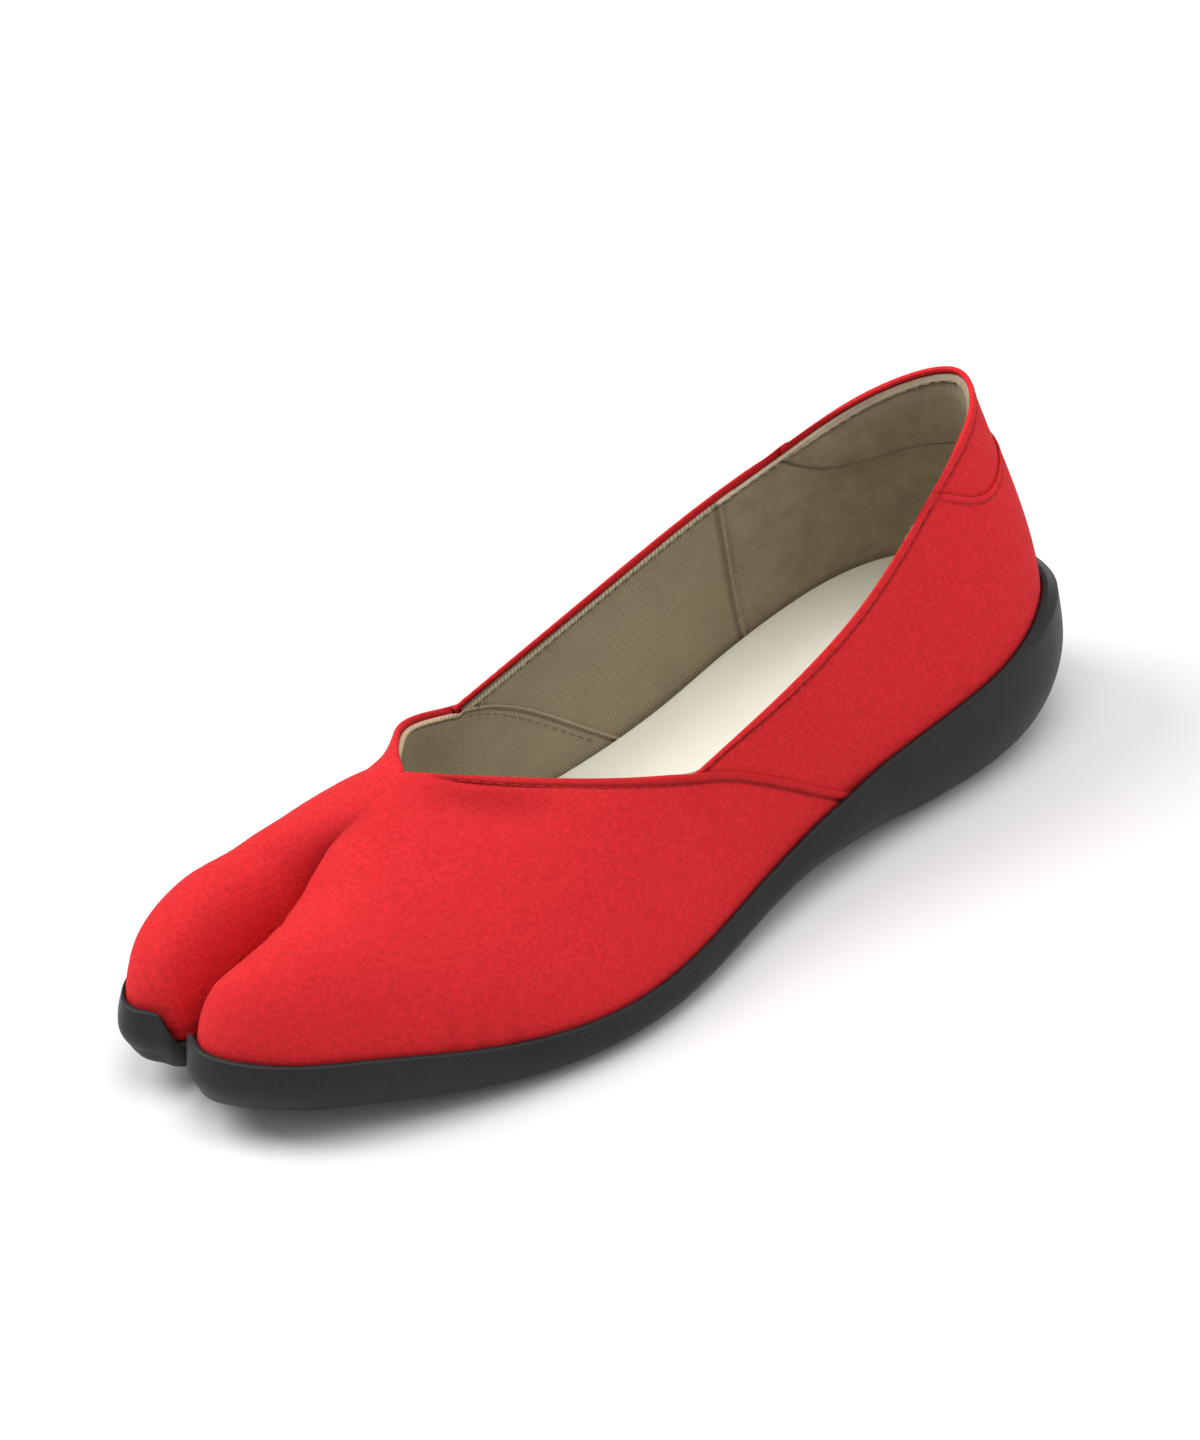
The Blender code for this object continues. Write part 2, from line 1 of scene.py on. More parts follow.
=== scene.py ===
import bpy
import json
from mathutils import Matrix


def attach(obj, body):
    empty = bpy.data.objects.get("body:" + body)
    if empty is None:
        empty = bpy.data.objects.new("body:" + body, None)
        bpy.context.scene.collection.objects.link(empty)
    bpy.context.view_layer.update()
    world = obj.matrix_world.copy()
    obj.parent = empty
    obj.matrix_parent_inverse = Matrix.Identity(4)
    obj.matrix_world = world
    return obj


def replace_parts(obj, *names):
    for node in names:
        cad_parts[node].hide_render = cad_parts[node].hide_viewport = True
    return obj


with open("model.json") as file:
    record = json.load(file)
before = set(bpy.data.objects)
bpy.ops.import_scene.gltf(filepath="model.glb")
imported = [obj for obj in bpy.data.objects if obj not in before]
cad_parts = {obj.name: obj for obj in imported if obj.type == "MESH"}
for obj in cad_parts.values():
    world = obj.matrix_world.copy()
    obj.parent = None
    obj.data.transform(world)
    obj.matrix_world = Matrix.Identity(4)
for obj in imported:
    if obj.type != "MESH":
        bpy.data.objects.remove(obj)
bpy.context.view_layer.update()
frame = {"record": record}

import json
import math
from collections import namedtuple

import bpy
import numpy as np
from mathutils import Matrix, Vector
from mathutils.bvhtree import BVHTree

bl_info = {
    "name": "Tabi Pump",
    "version": (1, 0, 0),
    "blender": (4, 5, 0),
    "location": "View3D > Sidebar > Tabi Pump",
    "description": "Dresses the split-toe slip-on with its cloth, linings, stitches and moulded sole",
    "category": "Object",
}

# Lengths are metres. The toe points along -Y, the heel along +Y, the outer side of the left
# foot along +X and up is +Z. The last and the curves of the sole are those of the solids.
FINISHES = {row["slot"]: row["base_color"] for row in frame["record"]["materials"]}
LENGTH = 0.244
BALL_WIDTH = 0.088
COLLAR_HEIGHT = 0.084
HEEL_SEAT = 0.026
WALL = 0.0018
VAMP_STEP = 0.0007
TAB_STEP = 0.0006
FIT_GAP = 0.0003
LIP_THICKNESS = 0.0017
INSOLE_THICKNESS = 0.0030
MIDDLE_ACROSS = 0.0059
MIDDLE_ALONG = 0.0003
PERCENT = 0.01

# Ribs of the upper from the back of the heel to the tip of a toe pocket. Along in percent of
# LENGTH, across in percent of BALL_WIDTH, heights and handles in percent of COLLAR_HEIGHT.
Rib = namedtuple("Rib", "name along across edge_along edge_across edge_height "
                        "foot_out foot_up edge_out edge_up edge_forward")
ON_SEAT = None
LATERAL = (
    Rib("heel_back",       49.9,   2.3,  45.8,  -1.0, 100.0,  6.0, 21.5,   1.5, -19.0, 0.0),
    Rib("heel_corner",     46.8,  24.0,  43.2,  12.0,  98.0,  5.0, 21.5,   2.5, -19.0, 0.0),
    Rib("heel_side",       39.3,  35.8,  38.0,  21.0,  94.0,  3.0, 19.0,   4.0, -17.0, 0.0),
    Rib("heel_front",      31.1,  38.6,  31.1,  27.3,  85.6,  2.0, 17.0,   2.5, -15.5, 0.0),
    Rib("waist_back",      22.0,  38.8,  21.2,  33.3,  71.4,  1.5, 14.5,   1.5, -14.5, 0.0),
    Rib("waist",           12.6,  40.0,  10.2,  35.6,  59.4,  1.5, 12.0,   1.5, -12.5, 0.0),
    Rib("collar_front",     2.8,  45.1,  -0.8,  37.0,  50.8,  1.5, 12.5,   2.0, -10.0, 0.0),
    Rib("throat_side",     -5.4,  51.1,  -9.5,  26.0,  56.1,  2.0, 17.0,  12.0,  -7.0, 3.0),
    Rib("throat_quarter", -12.8,  54.9, -16.9,   9.7,  59.5,  2.0, 21.5,  18.0,  -5.0, 6.0),
    Rib("throat_front",   -19.3,  55.0, -21.8,  -4.4,  60.6,  2.0, 25.0,  18.0,  -1.5, 8.0),
    Rib("ball",           -25.9,  51.8, -27.3,  -3.8,  54.7,  2.0, 29.0,  13.0,   1.5, 4.0),
    Rib("crease",         -32.5,  46.6, -31.4,  -8.0,  39.0,  2.0, 34.0,   4.0,  26.0, 2.0),
    Rib("cleft_root",     -39.0,  39.2, -34.9,  -6.3, ON_SEAT, 2.0, 40.0,  2.5,  53.0, 0.0),
    Rib("pocket_middle",  -44.1,  31.3, -42.7,  -3.6, ON_SEAT, 1.5, 38.0,  1.0,  42.0, 0.0),
    Rib("pocket_front",   -47.8,  21.6, -47.8,   0.4, ON_SEAT, 0.5, 24.0,  1.0,  26.5, 0.0),
    Rib("pocket_tip",     -49.7,  10.4, -49.7,  10.4, ON_SEAT, 0.0,  0.0,  0.0,   0.0, 0.0),
)
MEDIAL = (
    Rib("heel_back",       49.9,   2.3,  45.8,  -1.0, 100.0,  6.0, 21.5,   1.5, -19.0, 0.0),
    Rib("heel_corner",     46.8, -20.0,  43.2, -13.0,  97.0,  5.0, 21.5,   2.5, -19.0, 0.0),
    Rib("heel_side",       39.3, -31.8,  37.6, -22.7,  90.0,  3.0, 19.0,   4.0, -17.0, 0.0),
    Rib("heel_front",      30.7, -34.1,  30.2, -28.4,  81.2,  2.0, 17.0,   2.5, -15.5, 0.0),
    Rib("waist_back",      21.6, -32.4,  21.2, -31.8,  73.0,  1.5, 14.5,   1.5, -14.5, 0.0),
    Rib("waist",           10.2, -30.0,   8.9, -33.0,  62.5,  1.5, 13.0,   1.5, -12.5, 0.0),
    Rib("collar_front",    -4.6, -33.4,  -9.1, -30.7,  50.6,  1.5, 12.5,   2.0, -10.0, 0.0),
    Rib("throat_side",    -11.1, -37.0, -15.0, -26.7,  57.0,  2.0, 16.0,   3.5,  -9.0, 2.0),
    Rib("throat_quarter", -16.1, -39.2, -19.0, -17.3,  60.7,  2.0, 18.5,   6.5,  -8.0, 3.0),
    Rib("throat_front",   -20.6, -40.9, -21.8,  -4.4,  60.6,  2.0, 20.5,  14.5,  -0.5, 5.0),
    Rib("ball",           -27.1, -41.8, -27.3,  -3.8,  54.7,  2.0, 23.0,  16.5,   5.0, 4.0),
    Rib("crease",         -33.6, -40.4, -31.4,  -8.0,  39.0,  2.0, 28.0,   5.0,  22.0, 2.0),
    Rib("cleft_root",     -39.4, -37.0, -34.9,  -6.3, ON_SEAT, 2.0, 36.0,  2.5,  45.0, 0.0),
    Rib("pocket_middle",  -44.3, -31.4, -43.1,  -7.0, ON_SEAT, 1.5, 32.5,  1.0,  35.0, 0.0),
    Rib("pocket_front",   -48.2, -24.4, -48.2,  -6.2, ON_SEAT, 0.5, 22.0,  1.0,  24.0, 0.0),
    Rib("pocket_tip",     -50.1, -15.2, -50.1, -15.2, ON_SEAT, 0.0,  0.0,  0.0,   0.0, 0.0),
)
SEAM = 6
SEAM_FOOT = {-1: 4.45, 1: 5.0}
SEAM_PULL_BACK = 3.2
SEAM_PULL_FRONT = 5.0
THROAT = 9
ROOT = 12
TIP = 15
LOOP = 2 * TIP - ROOT
RIB_THIRD = 1 / 3
FOLD_START = 0.5
FOLD_END = 0.85
NORMAL_STEP = 0.001
LEVEL_SHARE = 0.15

# Sole along the shoe: along in percent of LENGTH, heights in percent of HEEL_SEAT
SoleRow = namedtuple("SoleRow", "along floor seat lip")
SOLE = (
    SoleRow(-52.5, 31.0,  54.0, 30.0),
    SoleRow(-46.5, 23.0,  47.5, 30.0),
    SoleRow(-39.0, 15.0,  40.5, 28.5),
    SoleRow(-31.0,  6.5,  31.0, 23.0),
    SoleRow(-22.0,  0.0,  23.5, 17.5),
    SoleRow(-10.0,  0.0,  23.0, 15.0),
    SoleRow(  0.5,  8.0,  32.0, 15.5),
    SoleRow( 10.0, 15.0,  46.0, 17.0),
    SoleRow( 20.0,  7.0,  62.0, 19.0),
    SoleRow( 28.0,  0.0,  73.0, 20.5),
    SoleRow( 40.0,  0.0,  89.0, 27.0),
    SoleRow( 46.0,  2.0,  96.0, 36.0),
    SoleRow( 51.0,  6.0, 100.0, 41.0),
)
# Side wall of the sole, from the lip to the tread: share of the height, outward in metres
WallRow = namedtuple("WallRow", "height out")
SOLE_WALL = (WallRow(1.0, 0.0), WallRow(0.76, 0.0010), WallRow(0.54, 0.0014), WallRow(0.34, 0.0006),
             WallRow(0.17, -0.0014), WallRow(0.05, -0.0042))
# Places count rows round the feather line: 0 is the back of the heel, 15 the tip of a toe pocket
# and 18 the root of the cleft. The run of the lip, the tuck of the wall at the tips and the
# insole's edge at the root are finer here than on the solids.
TIP_PLACES = (13.2, 15.6)         # the lower wall loses its tuck over these
TREAD_INSET = -0.0075
POCKET_INSET = -0.0045
POCKET_PLACES = (11.5, 13.5)      # the tread's inset turns into that of the pockets
HEEL_BULGE = 0.0022
HEEL_ROUND = -0.0040
HEEL_ROUND_POWER = 4
HEEL_BACK_START = 0.36
HEEL_BACK_END = 0.50
LIP_ROUND = 0.0005
LIP_DROP = (15.58, 16.03)         # the lip runs down to the seat
LIP_BROAD = (15.15, 16.0)         # it narrows to the shelf in the cleft
LIP_LOW_START = (-1.3, -0.2)      # behind the heel it is lower, from here
LIP_LOW_END = (1.0, 2.2)          # to here
LIP_LOWER = 0.30
LIP_THIN_START = (12.6, 13.4)     # round the big toe it is thinner, from here
LIP_THIN_END = (14.4, 15.0)       # to here
LIP_THINNER = 0.5
LIP_RINGS = 6
LEAN_START = 0.2                  # share of the lip's height over which it leans to the cloth
LEAN_END = (15.45, 15.85)         # it stops leaning to the cloth
CLEFT_LIP_END = 16.0
CLEFT_TUCK_END = 16.7
CLEFT_LEDGE = 0.0010
CLEFT_PITCH = 0.0002
CLEFT_SHELF = 0.0006
CLEFT_FULLNESS = 0.2
LEAN_LIMIT = 0.0040
VAMP_RAMP = (-2.0, -0.5)
INSOLE_BEVEL = 0.0008
ROOT_RELIEF = -0.0008
RELIEF_PLACES = (16.0, 17.5)
# Tread: wavy grooves across the ball and the heel; a zone is where it starts, is full, fades and ends
TREAD_PITCH = 0.0065
TREAD_DEPTH = 0.0009
TREAD_WAVE = 0.0012
TREAD_WAVE_RUN = 0.018
TREAD_EDGE = (0.62, 0.86)
TREAD_ZONES = ((-0.092, -0.084, -0.012, -0.004), (0.046, 0.054, 0.104, 0.110))

# Cloth panels
CLOTH = 0.00085           # thickness of the outer cloth
HEM_ROUND = 0.0008        # radius of a turned edge
BAND_CROWN = 0.00018      # swell of the band between an edge and its stitches
TAB_CORNER = 1.45         # place where the tab's seam starts to rise
TAB_END = 2.8             # place where it meets the collar
TAB_LOW = 0.70            # share of the rib below it at the back of the heel
QUARTER_END = 6.3         # the quarters end here, under the vamp
TAB_CLOTH = 0.0004        # thickness of the tab
TAB_ROLL = 0.0008         # what its rolled rim adds inside
TAB_ROLL_END = (TAB_END - 1.1, TAB_END - 0.2)      # the rolled rim runs out
TAB_LEVEL_END = (TAB_END + 0.05, TAB_END + 0.6)    # the quarters leave the level of the tab
PAD_END = 3.05            # place where the heel pad meets the collar
PAD_CORNER = 1.3          # place where the pad's seam starts to rise
PAD_LOW = 0.59            # share of the rib below it at the back of the heel
PAD_POWER = 2.5           # how late the pad's seam rises
GRIP_END = 3.8            # side edge of the heel grip
LINING_LAP = 0.25         # rows by which the side linings go under the grip and the vamp's lining
VAMP_LINING_END = 14.5
UNDER_DIVE = 0.3          # share by which a sheet drops where it ends under another
LINING_TOP = 0.0016       # the linings end this far below the edge of the outer cloth
LINING_BAND = 0.0012      # from the top of a lining to its row of stitches
LINING_ROUND = 0.0005     # radius of a lining's turned edge
LINING_GAP = 0.0001       # between a lining and what it lies on
TOPLINE_BEAD = 0.00025    # swell of a lining's top edge
TOPSTITCH = 0.075         # rows from the edge of the vamp's lining to its stitches
TAB_BAND = 0.0017         # from the tab's seam to its stitches
COLLAR_BAND = 1.1         # width of the collar's band over that of the vamp's
BAND_RUN_OUT = 0.008      # the vamp's band narrows over this run at the throat's corner
SEWN_LATERAL = (0.003, 0.012)   # runs from that corner over which its stitches begin
SEWN_MEDIAL = (0.015, 0.035)
STITCH_HALF = 0.40        # from the middle of a stitch to its end, over the pitch
STITCH_SIDES = 6
STITCH_RINGS = 6
FINE = 121                # samples of a rib when its length is measured
# Nets of the panels: columns, and even rows below those of the edge
Net = namedtuple("Net", "columns rest")
QUARTER_NET = Net(420, 24)
TAB_NET = Net(200, 8)
SIDE_LINING_NET = Net(110, 26)
GRIP_NET = Net(200, 26)
PAD_NET = Net(180, 20)
VAMP_LINING_NET = Net(100, 16)
VAMP_ROW_STEP = 0.03      # from column to column along the throat, in rows
VAMP_TOE_COLUMNS = 97
VAMP_REST = 30
VAMP_SOFTENED = 70        # rounds of evening out at the root of the cleft
VAMP_LINING_SOFTENED = 30
STITCH_SHADE = 0.0005     # width of the painted shade line along a row of stitches
LINING_SHADE = 0.0004     # and along one of a lining; also the width of the painted highlight on a lining's top edge
CHUNK = 1500              # points measured against a line at one time
ROOT_SOFT = 0.8           # rows before and behind the root of the cleft that are evened out
LIP_REACH = 0.012         # how far out of the feather line the lip looks for the cloth
LIP_EVEN = 6              # points to each side over which the lip passes by the folds of the cloth
LIP_GAP = 0.0002          # dark line between the lip and the cloth
SEAM_ROW_RUN = 0.0235     # run of a row along the side at the vamp seam
EDGE_STEPS = ((0.0009, 0.0015, 3), (0.0015, 0.0034, 13), (0.0034, 0.0080, 8))
STEPS = 24                # points of the sole per row
TROUGH_SHADE = 190.0      # painted shade in a trough for each metre of its depth
INSIDE = 0.004            # how far inside the last the paths of the inner stitches are laid
QUARTER_TWILL = math.radians(29)   # lean of the twill's ribs
VAMP_TWILL = math.radians(71)

# Soft troughs of the vamp, or ridges where the depth is below 0: from a column and share to
# another, width and depth in metres
Wrinkle = namedtuple("Wrinkle", "name column share end_column end_share width depth")
WRINKLES = (
    Wrinkle("fold_ridge",        -10.9, 0.86, -12.5, 0.72, 0.0060, -0.0026),
    Wrinkle("fold_dip",          -12.5, 0.72, -13.5, 0.75, 0.0060, 0.0012),
    Wrinkle("throat_swell",       8.30, 0.80,  10.6, 0.60, 0.0100, -0.0011),
    Wrinkle("big_toe_top",        9.40, 0.58,  13.8, 0.24, 0.0090, -0.0010),
    Wrinkle("big_toe_side",       11.4, 0.30,  15.0, 0.28, 0.0055, -0.0014),
    Wrinkle("big_toe_inner",      10.6, 0.66,  14.0, 0.66, 0.0085, -0.0015),
    Wrinkle("under_throat_band", -9.30, 0.88, -7.70, 0.79, 0.0048, 0.0022),
    Wrinkle("lip_pucker_front",  -11.1, 0.00, -10.9, 0.25, 0.0020, 0.0006),
    Wrinkle("lip_pucker_middle", -10.8, 0.00, -10.6, 0.22, 0.0018, 0.0006),
    Wrinkle("lip_pucker_back",   -10.4, 0.00, -10.3, 0.19, 0.0018, 0.0005),
)
# Round lamps; their powers are settings of the stage
Lamp = namedtuple("Lamp", "name width place")
LAMPS = (
    Lamp("key", 0.9, (-0.70, -0.50, 0.95)),
    Lamp("side", 0.8, (0.80, 0.60, 0.85)),
    Lamp("top", 1.2, (0.15, 0.10, 1.3)),
)
LAMP_TARGET = (0.0, 0.0, 0.03)
FLOOR_HALF = 6.0


class TabiCloth(bpy.types.PropertyGroup):
    """Sizes of the sewing"""
    band: bpy.props.FloatProperty(
        name="Edge Band", description="From a turned edge to its row of stitches",
        default=0.0022, min=0.001, max=0.006, unit="LENGTH", precision=4)
    groove: bpy.props.FloatProperty(
        name="Stitch Groove", description="How deep a row of stitches pulls the cloth in",
        default=0.00045, min=0.0, max=0.001, unit="LENGTH", precision=5)
    pitch: bpy.props.FloatProperty(
        name="Stitch Pitch", description="From one stitch to the next",
        default=0.0028, min=0.001, max=0.006, unit="LENGTH", precision=4)
    thread: bpy.props.FloatProperty(
        name="Thread", description="Thickness of the sewing thread",
        default=0.00034, min=0.0001, max=0.001, unit="LENGTH", precision=5)
    pad_swell: bpy.props.FloatProperty(
        name="Heel Pad Swell", description="How far the padding behind the heel swells inward",
        default=0.0009, min=0.0, max=0.002, unit="LENGTH", precision=4)


class TabiColours(bpy.types.PropertyGroup):
    """Colours of the cloths and the rubber"""
    suede: bpy.props.FloatVectorProperty(
        name="Suede", description="Red of the outer cloth",
        subtype="COLOR", size=3, min=0.0, max=1.0, default=(0.68, 0.020, 0.025))
    lining: bpy.props.FloatVectorProperty(
        name="Lining", description="Beige of the twill lining",
        subtype="COLOR", size=3, min=0.0, max=1.0, default=(0.36, 0.305, 0.20))
    grip: bpy.props.FloatVectorProperty(
        name="Heel Grip", description="Beige of the napped heel lining and its pad",
        subtype="COLOR", size=3, min=0.0, max=1.0, default=(0.34, 0.28, 0.19))
    insole: bpy.props.FloatVectorProperty(
        name="Insole", description="Cream of the insole",
        subtype="COLOR", size=3, min=0.0, max=1.0, default=(0.92, 0.89, 0.77))
    rubber: bpy.props.FloatVectorProperty(
        name="Rubber", description="Charcoal of the sole",
        subtype="COLOR", size=3, min=0.0, max=1.0, default=FINISHES["charcoal_rubber"])
    floor: bpy.props.FloatVectorProperty(
        name="Floor", description="Pale floor under the shoe",
        subtype="COLOR", size=3, min=0.0, max=1.0, default=(0.86, 0.86, 0.86))


class TabiStage(bpy.types.PropertyGroup):
    """Camera and light"""
    azimuth: bpy.props.FloatProperty(
        name="Azimuth", description="Camera's bearing, from the toe towards the outer side",
        default=math.radians(52.0), subtype="ANGLE")
    elevation: bpy.props.FloatProperty(
        name="Elevation", description="Camera's angle over the floor",
        default=math.radians(33.2), subtype="ANGLE")
    roll: bpy.props.FloatProperty(
        name="Roll", description="Camera's turn about its own axis",
        default=math.radians(-4.6), subtype="ANGLE")
    distance: bpy.props.FloatProperty(
        name="Distance", description="From the camera to the point it looks at",
        default=1.0, min=0.2, subtype="DISTANCE")
    lens: bpy.props.FloatProperty(
        name="Lens", description="Focal length over a frame 36 mm high",
        default=112.5, min=10.0, subtype="DISTANCE_CAMERA")
    target: bpy.props.FloatVectorProperty(
        name="Target", description="Point that the camera looks at",
        default=(-0.0082, -0.0005, 0.040), subtype="TRANSLATION", size=3)
    key: bpy.props.FloatProperty(
        name="Key Light", description="Power of the large lamp over the toes",
        default=11.7, min=0.0, subtype="POWER")
    side: bpy.props.FloatProperty(
        name="Side Light", description="Power of the lamp behind the outer side",
        default=2.8, min=0.0, subtype="POWER")
    top: bpy.props.FloatProperty(
        name="Top Light", description="Power of the large lamp overhead",
        default=9.1, min=0.0, subtype="POWER")
    sky: bpy.props.FloatProperty(
        name="Room Light", description="Strength of the even white light all round",
        default=0.42, min=0.0)


def smoothstep(start, end, value):
    share = np.clip((np.asarray(value, float) - start) / (end - start), 0.0, 1.0)
    return share * share * (3.0 - 2.0 * share)


def unit(vectors):
    return vectors / np.maximum(np.linalg.norm(vectors, axis=-1, keepdims=True), 1e-12)


class Curve:
    """Natural cubic curve through rows of values; it may turn sharply at the corner rows."""

    def __init__(self, values, at=None, corners=()):
        self.values = np.asarray(values, float)
        count = len(self.values)
        self.at = np.arange(count, dtype=float) if at is None else np.asarray(at, float)
        self.span = np.diff(self.at)
        matrix = np.eye(count)
        right = np.zeros_like(self.values)
        slope = np.diff(self.values, axis=0) / self.span[:, None]
        for row in range(1, count - 1):
            if row in corners:
                continue
            before, after = self.span[row - 1], self.span[row]
            matrix[row, row - 1:row + 2] = before, 2.0 * (before + after), after
            right[row] = 6.0 * (slope[row] - slope[row - 1])
        self.bend = np.linalg.solve(matrix, right)

    def __call__(self, place):
        place = np.asarray(place, float)
        row = np.clip(np.searchsorted(self.at, place, side="right") - 1, 0, len(self.span) - 1)
        span = self.span[row][..., None]
        low = (self.at[row + 1] - place)[..., None] / span
        high = 1.0 - low
        line = low * self.values[row] + high * self.values[row + 1]
        sag = (low ** 3 - low) * self.bend[row] + (high ** 3 - high) * self.bend[row + 1]
        return line + sag * span * span / 6.0


SOLE_CURVE = Curve([[row.floor, row.seat, row.lip] for row in SOLE], [row.along for row in SOLE])
WALL_CURVE = Curve([[row.out] for row in SOLE_WALL[::-1]], [row.height for row in SOLE_WALL[::-1]])


def sole_height(column, y):
    """Height of the floor (0), the seat (1) or the lip over the seat (2) at a place along the shoe."""
    return SOLE_CURVE(np.asarray(y, float) / (LENGTH * PERCENT))[..., column] * HEEL_SEAT * PERCENT


def floor_height(y):
    return np.maximum(sole_height(0, y), 0.0)


def seat_height(y):
    return sole_height(1, y)


def across_along(across, along):
    return across * BALL_WIDTH * PERCENT, along * LENGTH * PERCENT


def half_outline(rows):
    """Plan points of one half: heel to pocket tip, then back along the cleft to its root."""
    foot = [across_along(row.across, row.along) for row in rows]
    cleft = [across_along(row.edge_across, row.edge_along) for row in rows[TIP - 1:ROOT - 1:-1]]
    return foot + cleft


WRAP = 5
RING = half_outline(LATERAL)[:0:-1] + half_outline(MEDIAL)[:-1]
OUTLINE = Curve(RING[-WRAP:] + RING + RING[:WRAP + 1])
BOTH = LATERAL[:0:-1] + MEDIAL
CORNERS = (TIP - THROAT, TIP - SEAM, TIP + SEAM, TIP + THROAT)
EDGE = Curve([across_along(row.edge_across, row.edge_along) for row in BOTH], corners=CORNERS)
EDGE_HEIGHT = Curve([[seat_height(row.edge_along * LENGTH * PERCENT) if row.edge_height is ON_SEAT
                      else row.edge_height * COLLAR_HEIGHT * PERCENT] for row in BOTH], corners=CORNERS)
FIRST_HANDLE = Rib._fields.index("foot_out")
HANDLES = Curve(np.array([row[FIRST_HANDLE:] for row in BOTH]) * COLLAR_HEIGHT * PERCENT)


def outline(place):
    """Feather line in plan; places below 0 are lateral, above 0 medial, 0 is the back of the heel."""
    return OUTLINE(np.asarray(place, float) + LOOP + WRAP)


def outward(place):
    """Unit direction out of the shoe in plan."""
    run = outline(place + NORMAL_STEP) - outline(place - NORMAL_STEP)
    return unit(np.stack([run[..., 1], -run[..., 0]], -1))


def rib_edge(place):
    """Upper end of the rib at each place."""
    size = np.abs(place)
    plan = EDGE(place + TIP)
    height = EDGE_HEIGHT(place + TIP)[..., 0]
    shared = (size > THROAT)[..., None]
    plan = np.where(shared, 0.5 * (plan + EDGE(TIP - place)), plan)
    height = np.where(shared[..., 0], 0.5 * (height + EDGE_HEIGHT(TIP - place)[..., 0]), height)
    in_pocket = size > ROOT
    wall = outline(np.sign(place) * (2 * TIP - size))
    plan = np.where(in_pocket[..., None], wall, plan)
    height = np.where(in_pocket, seat_height(plan[..., 1]), height)
    return np.concatenate([plan, height[..., None]], -1)


def upper_surface(place, share):
    """Outer face of the quarters and the vamp before the steps of the seams."""
    place = np.asarray(place, float)
    share = np.asarray(share, float)[..., None]
    plan = outline(place)
    foot = np.concatenate([plan, seat_height(plan[..., 1])[..., None]], -1)
    edge = rib_edge(place)
    foot_out, foot_up, edge_out, edge_up, edge_forward = np.moveaxis(HANDLES(place + TIP), -1, 0)
    foot_side = outward(place)
    sideways = np.stack([-np.sign(place), np.zeros_like(place)], -1)
    turn = smoothstep(SEAM - 1, THROAT, np.abs(place))[..., None]
    edge_side = unit(foot_side * (1.0 - turn) + sideways * turn)
    lean = (edge[..., 1] - foot[..., 1]) * RIB_THIRD
    foot_handle = foot.copy()
    foot_handle[..., :2] += foot_side * foot_out[..., None]
    foot_handle[..., 1] += lean
    foot_handle[..., 2] += foot_up
    edge_handle = edge.copy()
    edge_handle[..., :2] += edge_side * edge_out[..., None]
    edge_handle[..., 1] -= lean + edge_forward
    edge_handle[..., 2] += edge_up
    rest = 1.0 - share
    return (rest ** 3 * foot + 3.0 * rest ** 2 * share * foot_handle
            + 3.0 * rest * share ** 2 * edge_handle + share ** 3 * edge)


def leaning_place(column, share):
    """Place of the points of columns that lean with the vamp seam; lateral columns are below 0."""
    size = np.abs(column)
    foot = np.where(column < 0.0, SEAM_FOOT[-1], SEAM_FOOT[1])
    reach = np.where(size < SEAM, SEAM_PULL_BACK, SEAM_PULL_FRONT)
    pull = np.maximum(0.0, 1.0 - np.abs(size - SEAM) / reach)
    return np.where(column < 0.0, -1.0, 1.0) * (size + (foot - SEAM) * (1.0 - share) * pull)


def on_last(column, share):
    """Points of the upper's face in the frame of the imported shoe."""
    column, share = np.broadcast_arrays(np.asarray(column, float), np.asarray(share, float))
    return upper_surface(leaning_place(column, share), share) + (-MIDDLE_ACROSS, -MIDDLE_ALONG, FIT_GAP)


def last_normals(columns, shares):
    """Directions out of the last."""
    columns, shares = np.broadcast_arrays(np.asarray(columns, float), np.asarray(shares, float))
    along = on_last(columns + NORMAL_STEP, shares) - on_last(columns - NORMAL_STEP, shares)
    rise = on_last(columns, shares) - on_last(columns, shares - 0.01)
    return unit(np.cross(along, rise))


def edge_distances():
    """Distances of the rows below an edge, closest where it turns and where it is stitched."""
    first = EDGE_STEPS[0][0] * np.linspace(0.0, 1.0, 7, endpoint=False) ** 2
    parts = [np.linspace(start, end, count, endpoint=False) for start, end, count in EDGE_STEPS]
    return np.concatenate([first] + parts + [[EDGE_STEPS[-1][1]]])


def rows_below(columns, low, top, distances, rest):
    """Shares of each column from its low end to its top: set distances below the top, then even."""
    columns, low, top = np.broadcast_arrays(np.asarray(columns, float), low, top)
    share = low[:, None] + (top - low)[:, None] * np.linspace(0.0, 1.0, FINE)
    step = np.linalg.norm(np.diff(on_last(columns[:, None], share), axis=1), axis=-1)
    below = np.concatenate([np.zeros((len(columns), 1)), np.cumsum(step[:, ::-1], axis=1)], axis=1)
    rows = np.empty((len(columns), len(distances) + rest))
    for number, run in enumerate(below):
        if run[-1] < NORMAL_STEP:
            rows[number] = np.linspace(low[number], top[number], rows.shape[1])
            continue
        near = distances * min(1.0, 0.6 * run[-1] / distances[-1])
        wanted = np.concatenate([near, np.linspace(near[-1], run[-1], rest + 1)[1:]])
        rows[number] = np.interp(wanted[::-1], run, share[number, ::-1])
    return rows


def share_below(columns, distance, top=1.0):
    """Share of each column at one distance below its top."""
    return rows_below(columns, 0.0, top, np.array([distance]), 1)[:, 1]


